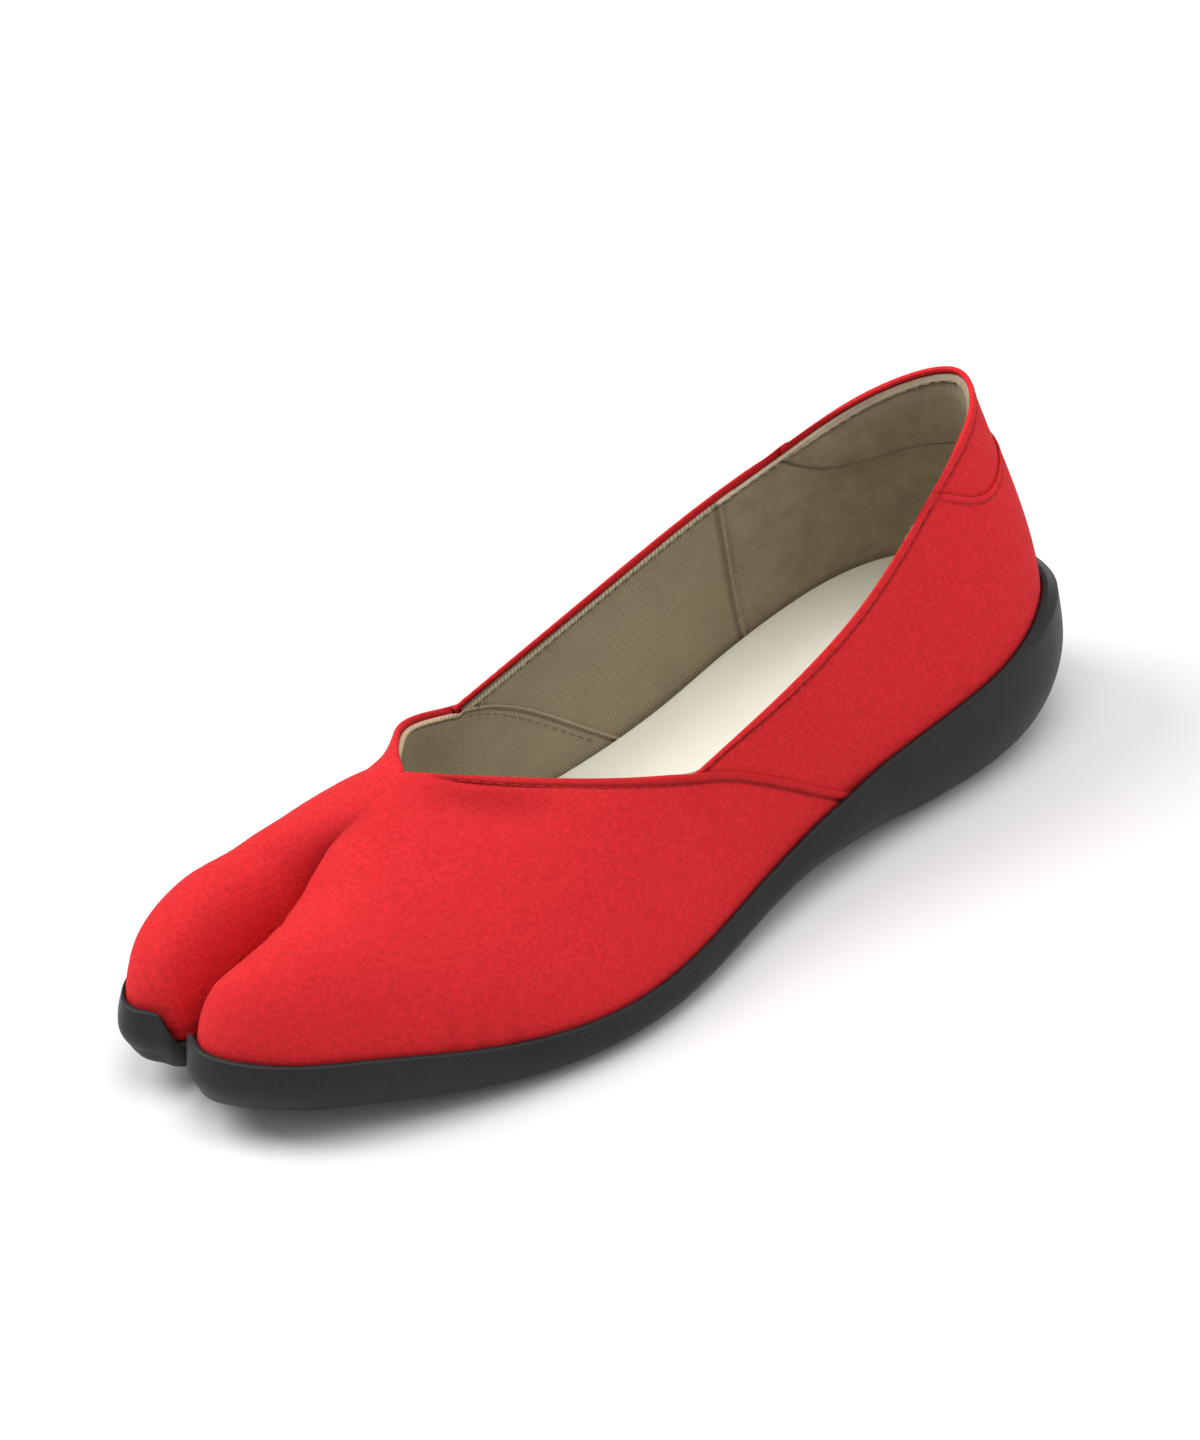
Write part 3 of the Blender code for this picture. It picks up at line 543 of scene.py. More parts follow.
class Skin:
    """Nets of points on the upper's face: a line of points for each column, low end first."""

    def __init__(self, *halves):
        self.points = np.concatenate([on_last(columns[:, None], rows).reshape(-1, 3)
                                      for columns, rows in halves])
        self.column = np.concatenate([np.repeat(columns, rows.shape[1]) for columns, rows in halves])
        self.share = np.concatenate([rows.ravel() for _, rows in halves])
        self.nets = []
        start = 0
        for _, rows in halves:
            self.nets.append(start + np.arange(rows.size).reshape(rows.shape))
            start += rows.size
        self.edge = np.zeros(start, bool)

    def soften(self, middle, reach, rounds):
        """Even out the turn of the face near one column, along the rows."""
        for net in self.nets:
            size = np.abs(self.column[net[:, 0]])
            weight = 0.5 * np.exp(-((size - middle) / reach) ** 2)[1:-1, None, None]
            face = self.points[net]
            for _ in range(rounds):
                face[1:-1] += weight * (0.5 * (face[:-2] + face[2:]) - face[1:-1])
            self.points[net] = face

    def weld(self, kept, dropped):
        self.points[kept] = 0.5 * (self.points[kept] + self.points[dropped])
        same = np.arange(len(self.points))
        same[dropped] = kept
        self.nets = [same[net] for net in self.nets]

    def weld_pole(self, line):
        same = np.arange(len(self.points))
        same[line] = line[0]
        self.nets = [same[net] for net in self.nets]

    def quads(self):
        parts = [np.stack([net[:-1, :-1], net[1:, :-1], net[1:, 1:], net[:-1, 1:]], -1).reshape(-1, 4)
                 for net in self.nets]
        return np.concatenate(parts)

    def normals(self):
        """Outward directions, kept level near the foot so that the cloth ends flat on the sole."""
        quads = self.quads()
        corner = self.points[quads]
        facing = np.cross(corner[:, 2] - corner[:, 0], corner[:, 3] - corner[:, 1])
        total = np.zeros_like(self.points)
        for number in range(4):
            np.add.at(total, quads[:, number], facing)
        total = unit(total)
        in_pocket = np.abs(self.column) >= ROOT
        level = np.where(in_pocket, np.minimum(self.share, 1.0 - self.share), self.share)
        total[:, 2] *= smoothstep(0.0, LEVEL_SHARE, level)
        return unit(total)


def near_line(points, line):
    """Distance of each point from a line of points, and how far along the line it is met."""
    run = np.diff(line, axis=0)
    length = np.linalg.norm(run, axis=1)
    start, run, length = line[:-1][length > 1e-7], run[length > 1e-7], length[length > 1e-7]
    before = np.cumsum(length) - length
    distance = np.empty(len(points))
    along = np.empty(len(points))
    for first in range(0, len(points), CHUNK):
        part = slice(first, first + CHUNK)
        offset = points[part, None] - start
        share = np.clip((offset * run).sum(-1) / length ** 2, 0.0, 1.0)
        gap = np.linalg.norm(offset - share[..., None] * run, axis=-1)
        best = gap.argmin(1)
        row = np.arange(len(best))
        distance[part] = gap[row, best]
        along[part] = before[best] + share[row, best] * length[best]
    return distance, along


def turned(distance, radius=HEM_ROUND):
    """Roundness of a turned edge: 1 at the edge, 0 where the sheet is flat."""
    inside = np.clip(1.0 - distance / radius, 0.0, 1.0)
    return 1.0 - np.sqrt(1.0 - inside ** 2)


def hump(distance, middle, width):
    return np.exp(-((distance - middle) / width) ** 2)


def band_relief(distance, along, cloth, band):
    """Swell of the band along an edge and the groove of its stitches, with the pull of each stitch."""
    pull = 0.5 + 0.5 * np.cos(2.0 * math.pi * along / cloth.pitch)
    swell = BAND_CROWN * hump(distance, 0.5 * band, 0.4 * band)
    groove = cloth.groove * hump(distance, band, 0.00042) * (0.8 + 0.35 * pull)
    dimple = 0.25 * cloth.groove * hump(distance, band, 0.0016) * pull
    return swell - groove - dimple


def open_edges(quads):
    """Directed edges that belong to one face only."""
    edges = np.concatenate([quads[:, [0, 1]], quads[:, [1, 2]], quads[:, [2, 3]], quads[:, [3, 0]]])
    edges = edges[edges[:, 0] != edges[:, 1]]
    _, first, count = np.unique(np.sort(edges, axis=1), axis=0, return_index=True, return_counts=True)
    return edges[first[count == 1]]


def new_piece(name, points, faces, material, shade=None):
    """Object of these faces, riding on the shoe; repeated corners of a face count once."""
    used, faces = np.unique(faces, return_inverse=True)
    corners = [list(dict.fromkeys(face)) for face in faces.reshape(-1, 4).tolist()]
    mesh = bpy.data.meshes.new(name)
    mesh.from_pydata(points[used].tolist(), [], [face for face in corners if len(face) > 2])
    mesh.polygons.foreach_set("use_smooth", np.ones(len(mesh.polygons), bool))
    # The shade attribute is painted light: above 0 painted shade in grooves, seams, creases and troughs,
    # below 0 a painted highlight on raised beads
    if shade is not None:
        mesh.attributes.new("shade", "FLOAT", "POINT").data.foreach_set("value", shade[used])
    mesh.materials.append(material)
    mesh.update()
    piece = bpy.data.objects.new(name, mesh)
    bpy.context.scene.collection.objects.link(piece)
    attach(piece, "root")
    return piece


def cloth_piece(name, skin, outer, inner, material, shade):
    """Closed sheet between two heights over the last, its turned edges sealed."""
    normal = skin.normals()
    count = len(skin.points)
    points = np.concatenate([skin.points + normal * outer[:, None], skin.points + normal * inner[:, None]])
    number = np.arange(count)
    under = np.where(skin.edge, number, number + count)
    quads = skin.quads()
    rim = open_edges(quads)
    sides = np.column_stack([rim[:, 1], rim[:, 0], under[rim[:, 0]], under[rim[:, 1]]])
    faces = np.concatenate([quads, under[quads[:, ::-1]], sides])
    return new_piece(name, points, faces, material, np.tile(shade, 2))


def quarter_top(column):
    """Share at which the quarters end: the collar, the tab's seam behind the heel, and under the vamp."""
    size = np.abs(column)
    rise = np.clip((size - TAB_CORNER) / (TAB_END - TAB_CORNER), 0.0, 1.0)
    return TAB_LOW + (1.0 - TAB_LOW) * rise ** 2 - UNDER_DIVE * smoothstep(SEAM, QUARTER_END, size)


def pad_low(column):
    """Share at which the heel pad starts."""
    rise = np.clip((np.abs(column) - PAD_CORNER) / (PAD_END - PAD_CORNER), 0.0, 1.0)
    return PAD_LOW + (1.0 - PAD_LOW) * rise ** PAD_POWER


def vamp_edge():
    """Line of the vamp's edge: up the lateral seam, round the throat and down the medial seam."""
    rise = np.linspace(0.0, 1.0, 100)
    throat = np.linspace(SEAM, THROAT, 140)
    return np.concatenate([on_last(-SEAM, rise), on_last(-throat, 1.0), on_last(throat[::-1], 1.0),
                           on_last(SEAM, rise[::-1])])


def run_along(line):
    """How far along a line each of its points is."""
    step = np.linalg.norm(np.diff(line, axis=0), axis=1)
    return np.concatenate([[0.0], np.cumsum(step)])


def vamp_sewing(along, cloth):
    """Width of the vamp's band, which runs out at the throat's corner, and how firmly it is sewn."""
    line = vamp_edge()
    past = along - run_along(line)[len(line) // 2]
    band = cloth.band * (1.02 - np.exp(-np.abs(past) / BAND_RUN_OUT))
    sewn = np.where(past < 0.0, smoothstep(*SEWN_LATERAL, -past), smoothstep(*SEWN_MEDIAL, past))
    return band, sewn


def collar_band(column, cloth):
    """Width of the collar's band, narrower where it goes under the vamp."""
    return COLLAR_BAND * cloth.band * (0.5 + 0.5 * smoothstep(0.0, 1.2, SEAM - np.abs(column)))


def collar_edge():
    return on_last(np.linspace(-SEAM, SEAM, 420), 1.0)


def tab_edge():
    columns = np.linspace(-TAB_END, TAB_END, 160)
    return on_last(columns, quarter_top(columns))


def wrinkle(skin):
    """Press the wrinkles into the net of points; gives how deep each point lies in a trough."""
    press = np.zeros(len(skin.points))
    free = np.where(np.abs(skin.column) > THROAT, 1.0 - smoothstep(0.85, 0.97, skin.share), 1.0)
    for row in WRINKLES:
        run = np.linspace(0.0, 1.0, 24)
        line = on_last(row.column + (row.end_column - row.column) * run,
                       row.share + (row.end_share - row.share) * run)
        distance, along = near_line(skin.points, line)
        depth = row.depth * hump(distance, 0.0, row.width) * (skin.column * row.column > 0.0)
        press += depth * np.sin(math.pi * np.clip(along / along.max(), 0.04, 0.96)) * free
    skin.points -= skin.normals() * press[:, None]
    return np.maximum(press, 0.0)


def vamp_half():
    """Columns of one half of the vamp, close together at its seam."""
    at_seam = SEAM + edge_distances() / SEAM_ROW_RUN
    throat = np.arange(at_seam[-1] + VAMP_ROW_STEP, THROAT, VAMP_ROW_STEP)
    toes = np.linspace(THROAT, TIP, VAMP_TOE_COLUMNS)
    return np.concatenate([at_seam, throat, toes])


def vamp_skin(half, top, rest, rounds):
    """Skin of both halves of the vamp, joined along the crease; top gives each column's end."""
    halves = []
    for columns in (-half[::-1], half):
        halves.append((columns, rows_below(columns, 0.0, top(columns), edge_distances(), rest)))
    skin = Skin(*halves)
    lateral, medial = skin.nets
    crease = np.flatnonzero((half >= THROAT) & (half <= ROOT))
    skin.edge[lateral[-1]] = True
    skin.edge[medial[0]] = True
    for net in skin.nets:
        edge = net[:, -1]
        skin.edge[edge[np.abs(skin.column[edge]) <= THROAT]] = True
    skin.soften(ROOT, ROOT_SOFT, rounds)
    skin.weld(lateral[len(half) - 1 - crease, -1], medial[crease, -1])
    return skin


def make_vamp(cloth, material):
    skin = vamp_skin(vamp_half(), np.ones_like, VAMP_REST, VAMP_SOFTENED)
    lateral, medial = skin.nets
    skin.weld_pole(lateral[0])
    skin.weld_pole(medial[-1])
    size = np.abs(skin.column)
    distance, along = near_line(skin.points, vamp_edge())
    fade = smoothstep(THROAT, ROOT, size) * smoothstep(FOLD_START, FOLD_END, skin.share)
    hem = smoothstep(SEAM, QUARTER_END, size) * (1.0 - smoothstep(0.004, 0.008, distance))
    low = -CLOTH * hem
    top = VAMP_STEP * (1.0 - fade)
    round_edge = turned(distance)
    middle = 0.5 * (top + low)
    outer = top + (middle - top) * round_edge
    inner = low + (middle - low) * round_edge
    band, sewn = vamp_sewing(along, cloth)
    outer += band_relief(distance, along, cloth, band) * (1.0 - round_edge) * sewn
    # Painted shade: a dark line in the stitches' groove and a lighter one over the band between the edge
    # and the stitches, which faces away from the light
    band_shade_mask = 1.0 - smoothstep(0.8, 1.0, distance / band)
    shade = (0.8 * hump(distance, band, STITCH_SHADE) + 0.3 * band_shade_mask) * sewn
    # Painted shade in the crease between the toes, fading out towards the throat
    creases = on_last(np.linspace(THROAT + 0.4, ROOT, 80), 1.0)
    crease_distance, _ = near_line(skin.points, creases)
    deep = smoothstep(THROAT + 0.4, THROAT + 1.6, size)
    shade = np.maximum(shade, 0.55 * hump(crease_distance, 0.0, 0.0022) * deep)
    # Painted shade in the troughs of the wrinkles, by their depth
    shade = np.maximum(shade, TROUGH_SHADE * wrinkle(skin))
    return cloth_piece("vamp", skin, outer, inner, material, shade)


def make_quarters(cloth, material):
    columns = np.linspace(-QUARTER_END, QUARTER_END, QUARTER_NET.columns)
    rows = rows_below(columns, 0.0, quarter_top(columns), edge_distances(), QUARTER_NET.rest)
    skin = Skin((columns, rows))
    skin.edge[skin.nets[0][:, -1]] = True
    collar, along = near_line(skin.points, collar_edge())
    seam, seam_along = near_line(skin.points, tab_edge())
    edge = np.where(np.abs(skin.column) < TAB_END, np.minimum(seam, collar), collar)
    thin = 0.4 * CLOTH * (1.0 - smoothstep(0.002, 0.006, seam))
    low = np.full(len(seam), -CLOTH) + thin
    round_edge = turned(edge, 0.0006)
    outer = 0.5 * low * round_edge
    inner = low - 0.5 * low * round_edge
    band = collar_band(skin.column, cloth)
    outer += band_relief(collar, along, cloth, band) * (1.0 - round_edge)
    outer += 0.5 * band_relief(seam, seam_along, cloth, TAB_BAND) * (1.0 - round_edge)
    level = 1.0 - smoothstep(*TAB_LEVEL_END, np.abs(skin.column))
    outer -= TAB_STEP * level * (1.0 - smoothstep(0.0008, 0.005, collar))
    # Painted shade along the collar's stitches and, fainter, along the tab's seam
    shade = np.maximum(0.7 * hump(collar, band, STITCH_SHADE), 0.35 * hump(seam, TAB_BAND, 0.0004))
    return cloth_piece("quarters", skin, outer, inner, material, shade)


def make_heel_tab(cloth, material):
    columns = np.linspace(-TAB_END - 0.1, TAB_END + 0.1, TAB_NET.columns)
    low_end = np.minimum(quarter_top(columns) - 0.06, 0.95)
    skin = Skin((columns, rows_below(columns, low_end, 1.0, edge_distances(), TAB_NET.rest)))
    skin.edge[skin.nets[0][:, -1]] = True
    collar, along = near_line(skin.points, collar_edge())
    seam, _ = near_line(skin.points, tab_edge())
    top = np.full(len(collar), -TAB_STEP)
    rolled = 1.0 - smoothstep(*TAB_ROLL_END, np.abs(skin.column))
    low = top - TAB_CLOTH - TAB_ROLL * rolled * (1.0 - smoothstep(0.0009, 0.0016, collar))
    round_edge = turned(collar, TAB_CLOTH)
    band = collar_band(skin.column, cloth)
    relief = band_relief(collar, along, cloth, band) * (1.0 - round_edge)
    outer = top - 0.5 * TAB_CLOTH * round_edge + relief
    inner = low + 0.5 * TAB_CLOTH * round_edge
    # Painted shade along the collar's stitches and along the step at the tab's seam
    shade = np.maximum(0.7 * hump(collar, band, STITCH_SHADE), 0.45 * hump(seam, 0.0, 0.0006))
    return cloth_piece("heel_tab", skin, outer, inner, material, shade)


def lining_skin(columns, rest, low=0.0, gap=LINING_TOP):
    top = share_below(columns, gap) - UNDER_DIVE * smoothstep(SEAM, SEAM + 0.2, np.abs(columns))
    skin = Skin((columns, rows_below(columns, np.minimum(low, top - 0.02), top, edge_distances(), rest)))
    skin.edge[skin.nets[0][:, -1]] = True
    return skin


def topline(skin, gap=LINING_TOP):
    """Distance of each point from the top of a lining, and how far along the collar it is met."""
    collar, along = near_line(skin.points, collar_edge())
    return np.maximum(collar - gap, 0.0), along


def lining_sheet(edge, along, face, back, cloth, swell=0.0, bead=TOPLINE_BEAD, pale=0.9):
    """Heights of a lining's back and face, with the bead and stitches of its edge, and its shade value:
    painted shade along the stitches and a painted highlight, as strong as pale, on the top edge.
    """
    round_edge = turned(edge, LINING_ROUND)
    middle = 0.5 * (face + back)
    inner = face - swell - bead * hump(edge, 0.0005, 0.0004)
    inner = inner - band_relief(edge, along, cloth, LINING_BAND) * (1.0 - round_edge)
    inner = inner + (middle - inner) * round_edge
    outer = back + (middle - back) * round_edge
    # Painted shade along the row of stitches, painted highlight on the top edge
    shade = 0.6 * hump(edge, LINING_BAND, LINING_SHADE) - pale * hump(edge, 0.0001, LINING_SHADE)
    return outer, inner, shade


def side_bead(skin, column):
    """Distance from the rising edge of a lining at one column on both sides."""
    rise = np.linspace(0.0, 1.0, 80)
    one, _ = near_line(skin.points, on_last(-column, rise))
    two, _ = near_line(skin.points, on_last(column, rise))
    return np.minimum(one, two)


def make_linings(cloth, twill, nap):
    """Twill linings of the quarters, and the napped heel grip with its raised edge."""
    for side, word in ((-1, "lateral"), (1, "medial")):
        run = np.linspace(GRIP_END - LINING_LAP, SEAM + LINING_LAP, SIDE_LINING_NET.columns)
        skin = lining_skin(np.sort(side * run), SIDE_LINING_NET.rest)
        outer, inner, shade = lining_sheet(*topline(skin), -WALL, -CLOTH - LINING_GAP, cloth)
        # Painted shade on the side lining along the heel grip's side edge
        shade = np.maximum(shade, 0.7 * hump(side_bead(skin, GRIP_END), 0.0004, 0.0007))
        name = "quarter_lining_" + word
        cloth_piece(name, skin, outer, inner, twill, shade)
    skin = lining_skin(np.linspace(-GRIP_END, GRIP_END, GRIP_NET.columns), GRIP_NET.rest)
    skin.edge[skin.nets[0][[0, -1]]] = True
    bead = side_bead(skin, GRIP_END)
    outer, inner, shade = lining_sheet(*topline(skin), -WALL - 0.0002, -CLOTH - 0.0003, cloth)
    round_edge = turned(bead, 0.0006)
    collar, _ = near_line(skin.points, collar_edge())
    clear = smoothstep(0.0015, 0.005, collar)
    raised = 0.0005 * hump(bead, 0.0007, 0.0006) - 0.0004 * hump(bead, 0.0019, 0.0004)
    inner -= raised * (1.0 - round_edge) * clear
    rim = -WALL + 0.0002
    inner += (rim - inner) * round_edge
    outer += (rim - outer) * round_edge
    # Painted shade in the groove beside the grip's side bead and painted highlight on the bead, kept clear
    # of the collar
    shade += (0.8 * hump(bead, 0.0019, 0.0005) - 0.5 * hump(bead, 0.0006, 0.0005)) * clear
    cloth_piece("heel_grip", skin, outer, inner, nap, shade)


def vamp_lining_top(columns):
    return np.where(np.abs(columns) < THROAT, share_below(columns, LINING_TOP), 1.0)


def make_vamp_lining(cloth, twill):
    at_seam = SEAM + edge_distances() / SEAM_ROW_RUN
    half = np.concatenate([at_seam, np.linspace(SEAM + 0.4, VAMP_LINING_END, VAMP_LINING_NET.columns)])
    skin = vamp_skin(half, vamp_lining_top, VAMP_LINING_NET.rest, VAMP_LINING_SOFTENED)
    lateral, medial = skin.nets
    throat = half <= THROAT
    top = [lateral[::-1, -1][throat], medial[:, -1][throat][::-1]]
    rim = np.concatenate([lateral[-1], *top, medial[0, ::-1]])
    edge, along = near_line(skin.points, skin.points[rim])
    size = np.abs(skin.column)
    back = -CLOTH - LINING_GAP - 0.0010 * (1.0 - smoothstep(SEAM, SEAM + 0.2, size))
    # Strength of the painted highlight along the lining's edge: weak at the seams, stronger round the
    # throat
    pale = 0.25 + 0.65 * smoothstep(SEAM + 0.1, SEAM + 0.5, size)
    outer, inner, shade = lining_sheet(edge, along, -WALL - 0.0004, back, cloth, bead=0.0, pale=pale)
    wrinkle(skin)
    return cloth_piece("vamp_lining", skin, outer, inner, twill, shade)


def make_heel_pad(cloth, nap):
    columns = np.linspace(-PAD_END, PAD_END, PAD_NET.columns)
    gap = LINING_TOP + 0.0004
    skin = lining_skin(columns, PAD_NET.rest, pad_low(columns), gap)
    skin.edge[skin.nets[0][:, 0]] = True
    skin.edge[skin.nets[0][[0, -1]]] = True
    seam, _ = near_line(skin.points, on_last(columns, pad_low(columns)))
    collar, _ = near_line(skin.points, collar_edge())
    thick = 1.0 - smoothstep(PAD_END - 1.0, PAD_END - 0.1, np.abs(skin.column))
    swell = cloth.pad_swell * thick * smoothstep(0.0, 0.006, seam) * smoothstep(0.0015, 0.007, collar)
    rim = -WALL - 0.0003
    # Weak painted highlight on the pad's top edge
    outer, inner, shade = lining_sheet(*topline(skin, gap), rim - 0.0005 * thick, -WALL - LINING_GAP,
                                       cloth, swell, pale=0.2)
    round_edge = turned(seam, 0.0008)
    inner += (rim - inner) * round_edge
    outer += (rim - outer) * round_edge
    # Painted shade along the pad's seam
    shade += 1.1 * hump(seam, 0.0, 0.0010)
    piece = cloth_piece("heel_pad", skin, outer, inner, nap, shade)
    return piece


LOOP_STEPS = LOOP * STEPS
ROOT_STEP = ROOT * STEPS
TIP_STEP = TIP * STEPS


def loop_places():
    """Places round the whole outline, from the cleft's root by the lateral side to the root again."""
    return np.arange(-LOOP_STEPS, LOOP_STEPS) / STEPS


def loop_index(side, step):
    return (side * step + LOOP_STEPS) % (2 * LOOP_STEPS)


def ring_at(places, out, height):
    plan = outline(places) + outward(places) * np.broadcast_to(out, places.shape)[:, None]
    return np.column_stack([plan, np.broadcast_to(height, places.shape)])


def wall_quads(rings):
    """Faces between rings that go from the inside over the top and down the outside."""
    count = len(rings[0])
    number = np.arange(len(rings) * count).reshape(len(rings), count)
    after = np.roll(number, -1, axis=1)
    return np.stack([number[:-1], number[1:], after[1:], after[:-1]], -1).reshape(-1, 4)


def cap_of(ring, ring_start, new_start, height, rungs, up):
    """New points and faces of a ladder that closes a ring, drawn to the crease of the vamp."""
    number = ring_start + np.arange(len(ring))
    step = np.arange(1, ROOT_STEP)
    shift = ring[loop_index(1, LOOP_STEPS), :2] - outline(np.array(float(LOOP)))
    between = 0.5 * (ring[loop_index(-1, step), :2] + ring[loop_index(1, step), :2])
    crease = rib_edge(step / STEPS)[:, :2] + shift
    turn = smoothstep(SEAM, THROAT + 1, step / STEPS)[:, None]
    middle = between + (crease - between) * turn
    points = [np.column_stack([middle, height(middle[:, 0], middle[:, 1], 1.0)])]
    back, root = [loop_index(1, 0)], [loop_index(1, LOOP_STEPS)]
    middle_number = np.concatenate([number[back], new_start + np.arange(len(middle)), number[root]])
    next_start = new_start + len(middle)
    middle_point = np.concatenate([ring[back, :2], middle, ring[root, :2]])
    quads = []
    steps = np.arange(TIP_STEP + 1)
    for side in (-1, 1):
        start = number[loop_index(side, steps)]
        back = loop_index(side, 2 * TIP_STEP - steps[ROOT_STEP:])
        end = np.concatenate([middle_number[:ROOT_STEP], number[back]])
        start_point = ring[loop_index(side, steps), :2]
        end_point = np.concatenate([middle_point[:ROOT_STEP], ring[back, :2]])
        net = np.empty((TIP_STEP + 1, rungs + 1), int)
        net[:, 0] = start
        net[:, -1] = end
        share = np.arange(1, rungs) / rungs
        plan = start_point[:, None] + (end_point - start_point)[:, None] * share[:, None]
        inside = np.minimum(1.0, share * rungs / 3.0)
        pocket = steps[:, None] > ROOT_STEP
        inside = np.where(pocket, np.minimum(inside, inside[::-1]), inside)
        level = height(plan[..., 0], plan[..., 1], inside)
        points.append(np.concatenate([plan, level[..., None]], -1).reshape(-1, 3))
        net[:, 1:-1] = next_start + np.arange(plan.shape[0] * plan.shape[1]).reshape(plan.shape[:2])
        next_start += plan.shape[0] * plan.shape[1]
        net[0] = start[0]
        net[-1] = start[-1]
        faces = np.stack([net[:-1, :-1], net[1:, :-1], net[1:, 1:], net[:-1, 1:]], -1).reshape(-1, 4)
        quads.append(faces if (side > 0) == up else faces[:, ::-1])
    return np.concatenate(points), np.concatenate(quads)


def search_tree(*names):
    """Search tree over the faces of these pieces."""
    points = []
    faces = []
    for name in names:
        mesh = bpy.data.objects[name].data
        start = len(points)
        points.extend(vertex.co.copy() for vertex in mesh.vertices)
        faces.extend([start + number for number in face.vertices] for face in mesh.polygons)
    return BVHTree.FromPolygons(points, faces)


def cloth_out(tree, places, height):
    """How far the cloth stands out of the feather line at one height for each place."""
    plan = outline(places) + (-MIDDLE_ACROSS, -MIDDLE_ALONG)
    side = outward(places)
    out = np.full(len(places), np.nan)
    for number in range(len(places)):
        start = plan[number] + side[number] * LIP_REACH
        inward = Vector((*-side[number], 0.0))
        hit = tree.ray_cast(Vector((*start, height[number])), inward, 1.6 * LIP_REACH)
        if hit[0] is not None:
            out[number] = LIP_REACH - hit[3]
    known = np.flatnonzero(~np.isnan(out))
    out = np.interp(np.arange(len(out)), known, out[known])
    for evened in (np.max, np.mean):
        out = evened(np.stack([np.roll(out, shift) for shift in range(-LIP_EVEN, LIP_EVEN + 1)]), axis=0)
    return np.clip(out, -LEAN_LIMIT, LEAN_LIMIT)


def tread_relief(x, y, inside):
    """Depth of the shallow wavy grooves under the ball and the heel."""
    wave = y + TREAD_WAVE * np.sin(2.0 * math.pi * x / TREAD_WAVE_RUN)
    groove = smoothstep(*TREAD_EDGE, 0.5 + 0.5 * np.cos(2.0 * math.pi * wave / TREAD_PITCH))
    zone = 0.0
    for start, full, fading, end in TREAD_ZONES:
        zone = zone + smoothstep(start, full, y) * (1.0 - smoothstep(fading, end, y))
    return TREAD_DEPTH * groove * zone * smoothstep(0.3, 1.0, inside)


def tread_level(x, y, inside):
    return floor_height(y) + tread_relief(x, y, inside)


def over_seat(rise):
    """Heights of a cap that lies this far over the seat."""
    return lambda x, y, inside: seat_height(y) + rise


def ring_piece(name, rings, top, low, material):
    """Closed piece of rings; top and low are the heights of its caps and their counts of rungs."""
    ring_count = len(rings[0])
    count = len(rings) * ring_count
    top_points, top_quads = cap_of(rings[0], 0, count, *top, True)
    low_start = count + len(top_points)
    low_points, low_quads = cap_of(rings[-1], count - ring_count, low_start, *low, False)
    points = np.concatenate(rings + [top_points, low_points]) + (-MIDDLE_ACROSS, -MIDDLE_ALONG, 0.0)
    faces = np.concatenate([wall_quads(rings), top_quads, low_quads])
    return new_piece(name, points, faces, material)


def make_outsole(material):
    """Moulded wedge with a lip round the upper, split between the toes."""
    places = loop_places()
    size = np.abs(places)
    y = outline(places)[:, 1]
    floor, seat, rise = floor_height(y), seat_height(y), sole_height(2, y)
    lip = 1.0 - smoothstep(*LIP_DROP, size)
    broad = 1.0 - smoothstep(*LIP_BROAD, size)
    cleft = smoothstep(CLEFT_LIP_END, CLEFT_TUCK_END, size)
    clear = 1.0 - cleft
    heel = smoothstep(HEEL_BACK_START * LENGTH, HEEL_BACK_END * LENGTH, y)
    foot = np.where(places < 0.0, SEAM_FOOT[-1], SEAM_FOOT[1])
    snug = FIT_GAP + VAMP_STEP * smoothstep(*VAMP_RAMP, size - foot)
    behind = smoothstep(*LIP_LOW_START, places) * (1.0 - smoothstep(*LIP_LOW_END, places))
    rise = rise * (1.0 - LIP_LOWER * behind)
    top = seat + rise * lip
    big_toe = smoothstep(*LIP_THIN_START, places) * (1.0 - smoothstep(*LIP_THIN_END, places))
    full = LIP_THICKNESS * broad * (1.0 - LIP_THINNER * big_toe) + CLEFT_SHELF * (1.0 - broad)
    fullness = CLEFT_FULLNESS + (1.0 - CLEFT_FULLNESS) * broad
    tuck = 1.0 - (1.0 - CLEFT_FULLNESS) * smoothstep(*TIP_PLACES, size)
    cloth = search_tree("vamp", "quarters")
    outside = 1.0 - smoothstep(*LEAN_END, size)
    rings = []
    for share in np.linspace(0.0, 1.0, LIP_RINGS):
        lean = (cloth_out(cloth, places, seat + FIT_GAP + share * rise * lip) + LIP_GAP - snug) * outside
        out = snug + lean * smoothstep(0.0, LEAN_START, share) + share * CLEFT_PITCH * (1.0 - lip)
        lip_out = out * clear - (CLEFT_LEDGE - share * CLEFT_PITCH) * cleft
        if share < 1.0:
            rings.append(ring_at(places, lip_out, seat + (top - seat - LIP_ROUND * lip) * share))
    for angle in np.linspace(0.0, math.pi, 9):
        rings.append(ring_at(places, lip_out + full * (0.5 - 0.5 * math.cos(angle)),
                             top - LIP_ROUND * (1.0 - math.sin(angle))))
    height = top - LIP_ROUND - floor
    low = SOLE_WALL[-1].height
    for share in np.linspace(1.0, low, 20)[1:]:
        wall = float(WALL_CURVE(share)[0])
        out = lip_out + full + (max(wall, 0.0) + HEEL_BULGE * heel) * fullness + min(wall, 0.0) * tuck
        out = out + HEEL_ROUND * heel * (1.0 - share) ** HEEL_ROUND_POWER
        rings.append(ring_at(places, out, floor + share * height))
    wall_out = out
    pocket = smoothstep(*POCKET_PLACES, size)
    inset = TREAD_INSET + (POCKET_INSET - TREAD_INSET) * pocket + HEEL_ROUND * heel
    for angle in np.linspace(0.0, 0.5 * math.pi, 5)[1:]:
        out = inset + (wall_out - inset) * (1.0 - math.sin(angle) ** 1.5)
        rings.append(ring_at(places, out, floor + low * height * math.cos(angle) ** 1.5))
    top_cap = (over_seat(0.0), 6)
    return ring_piece("sole_unit", rings, top_cap, (tread_level, 16), material)


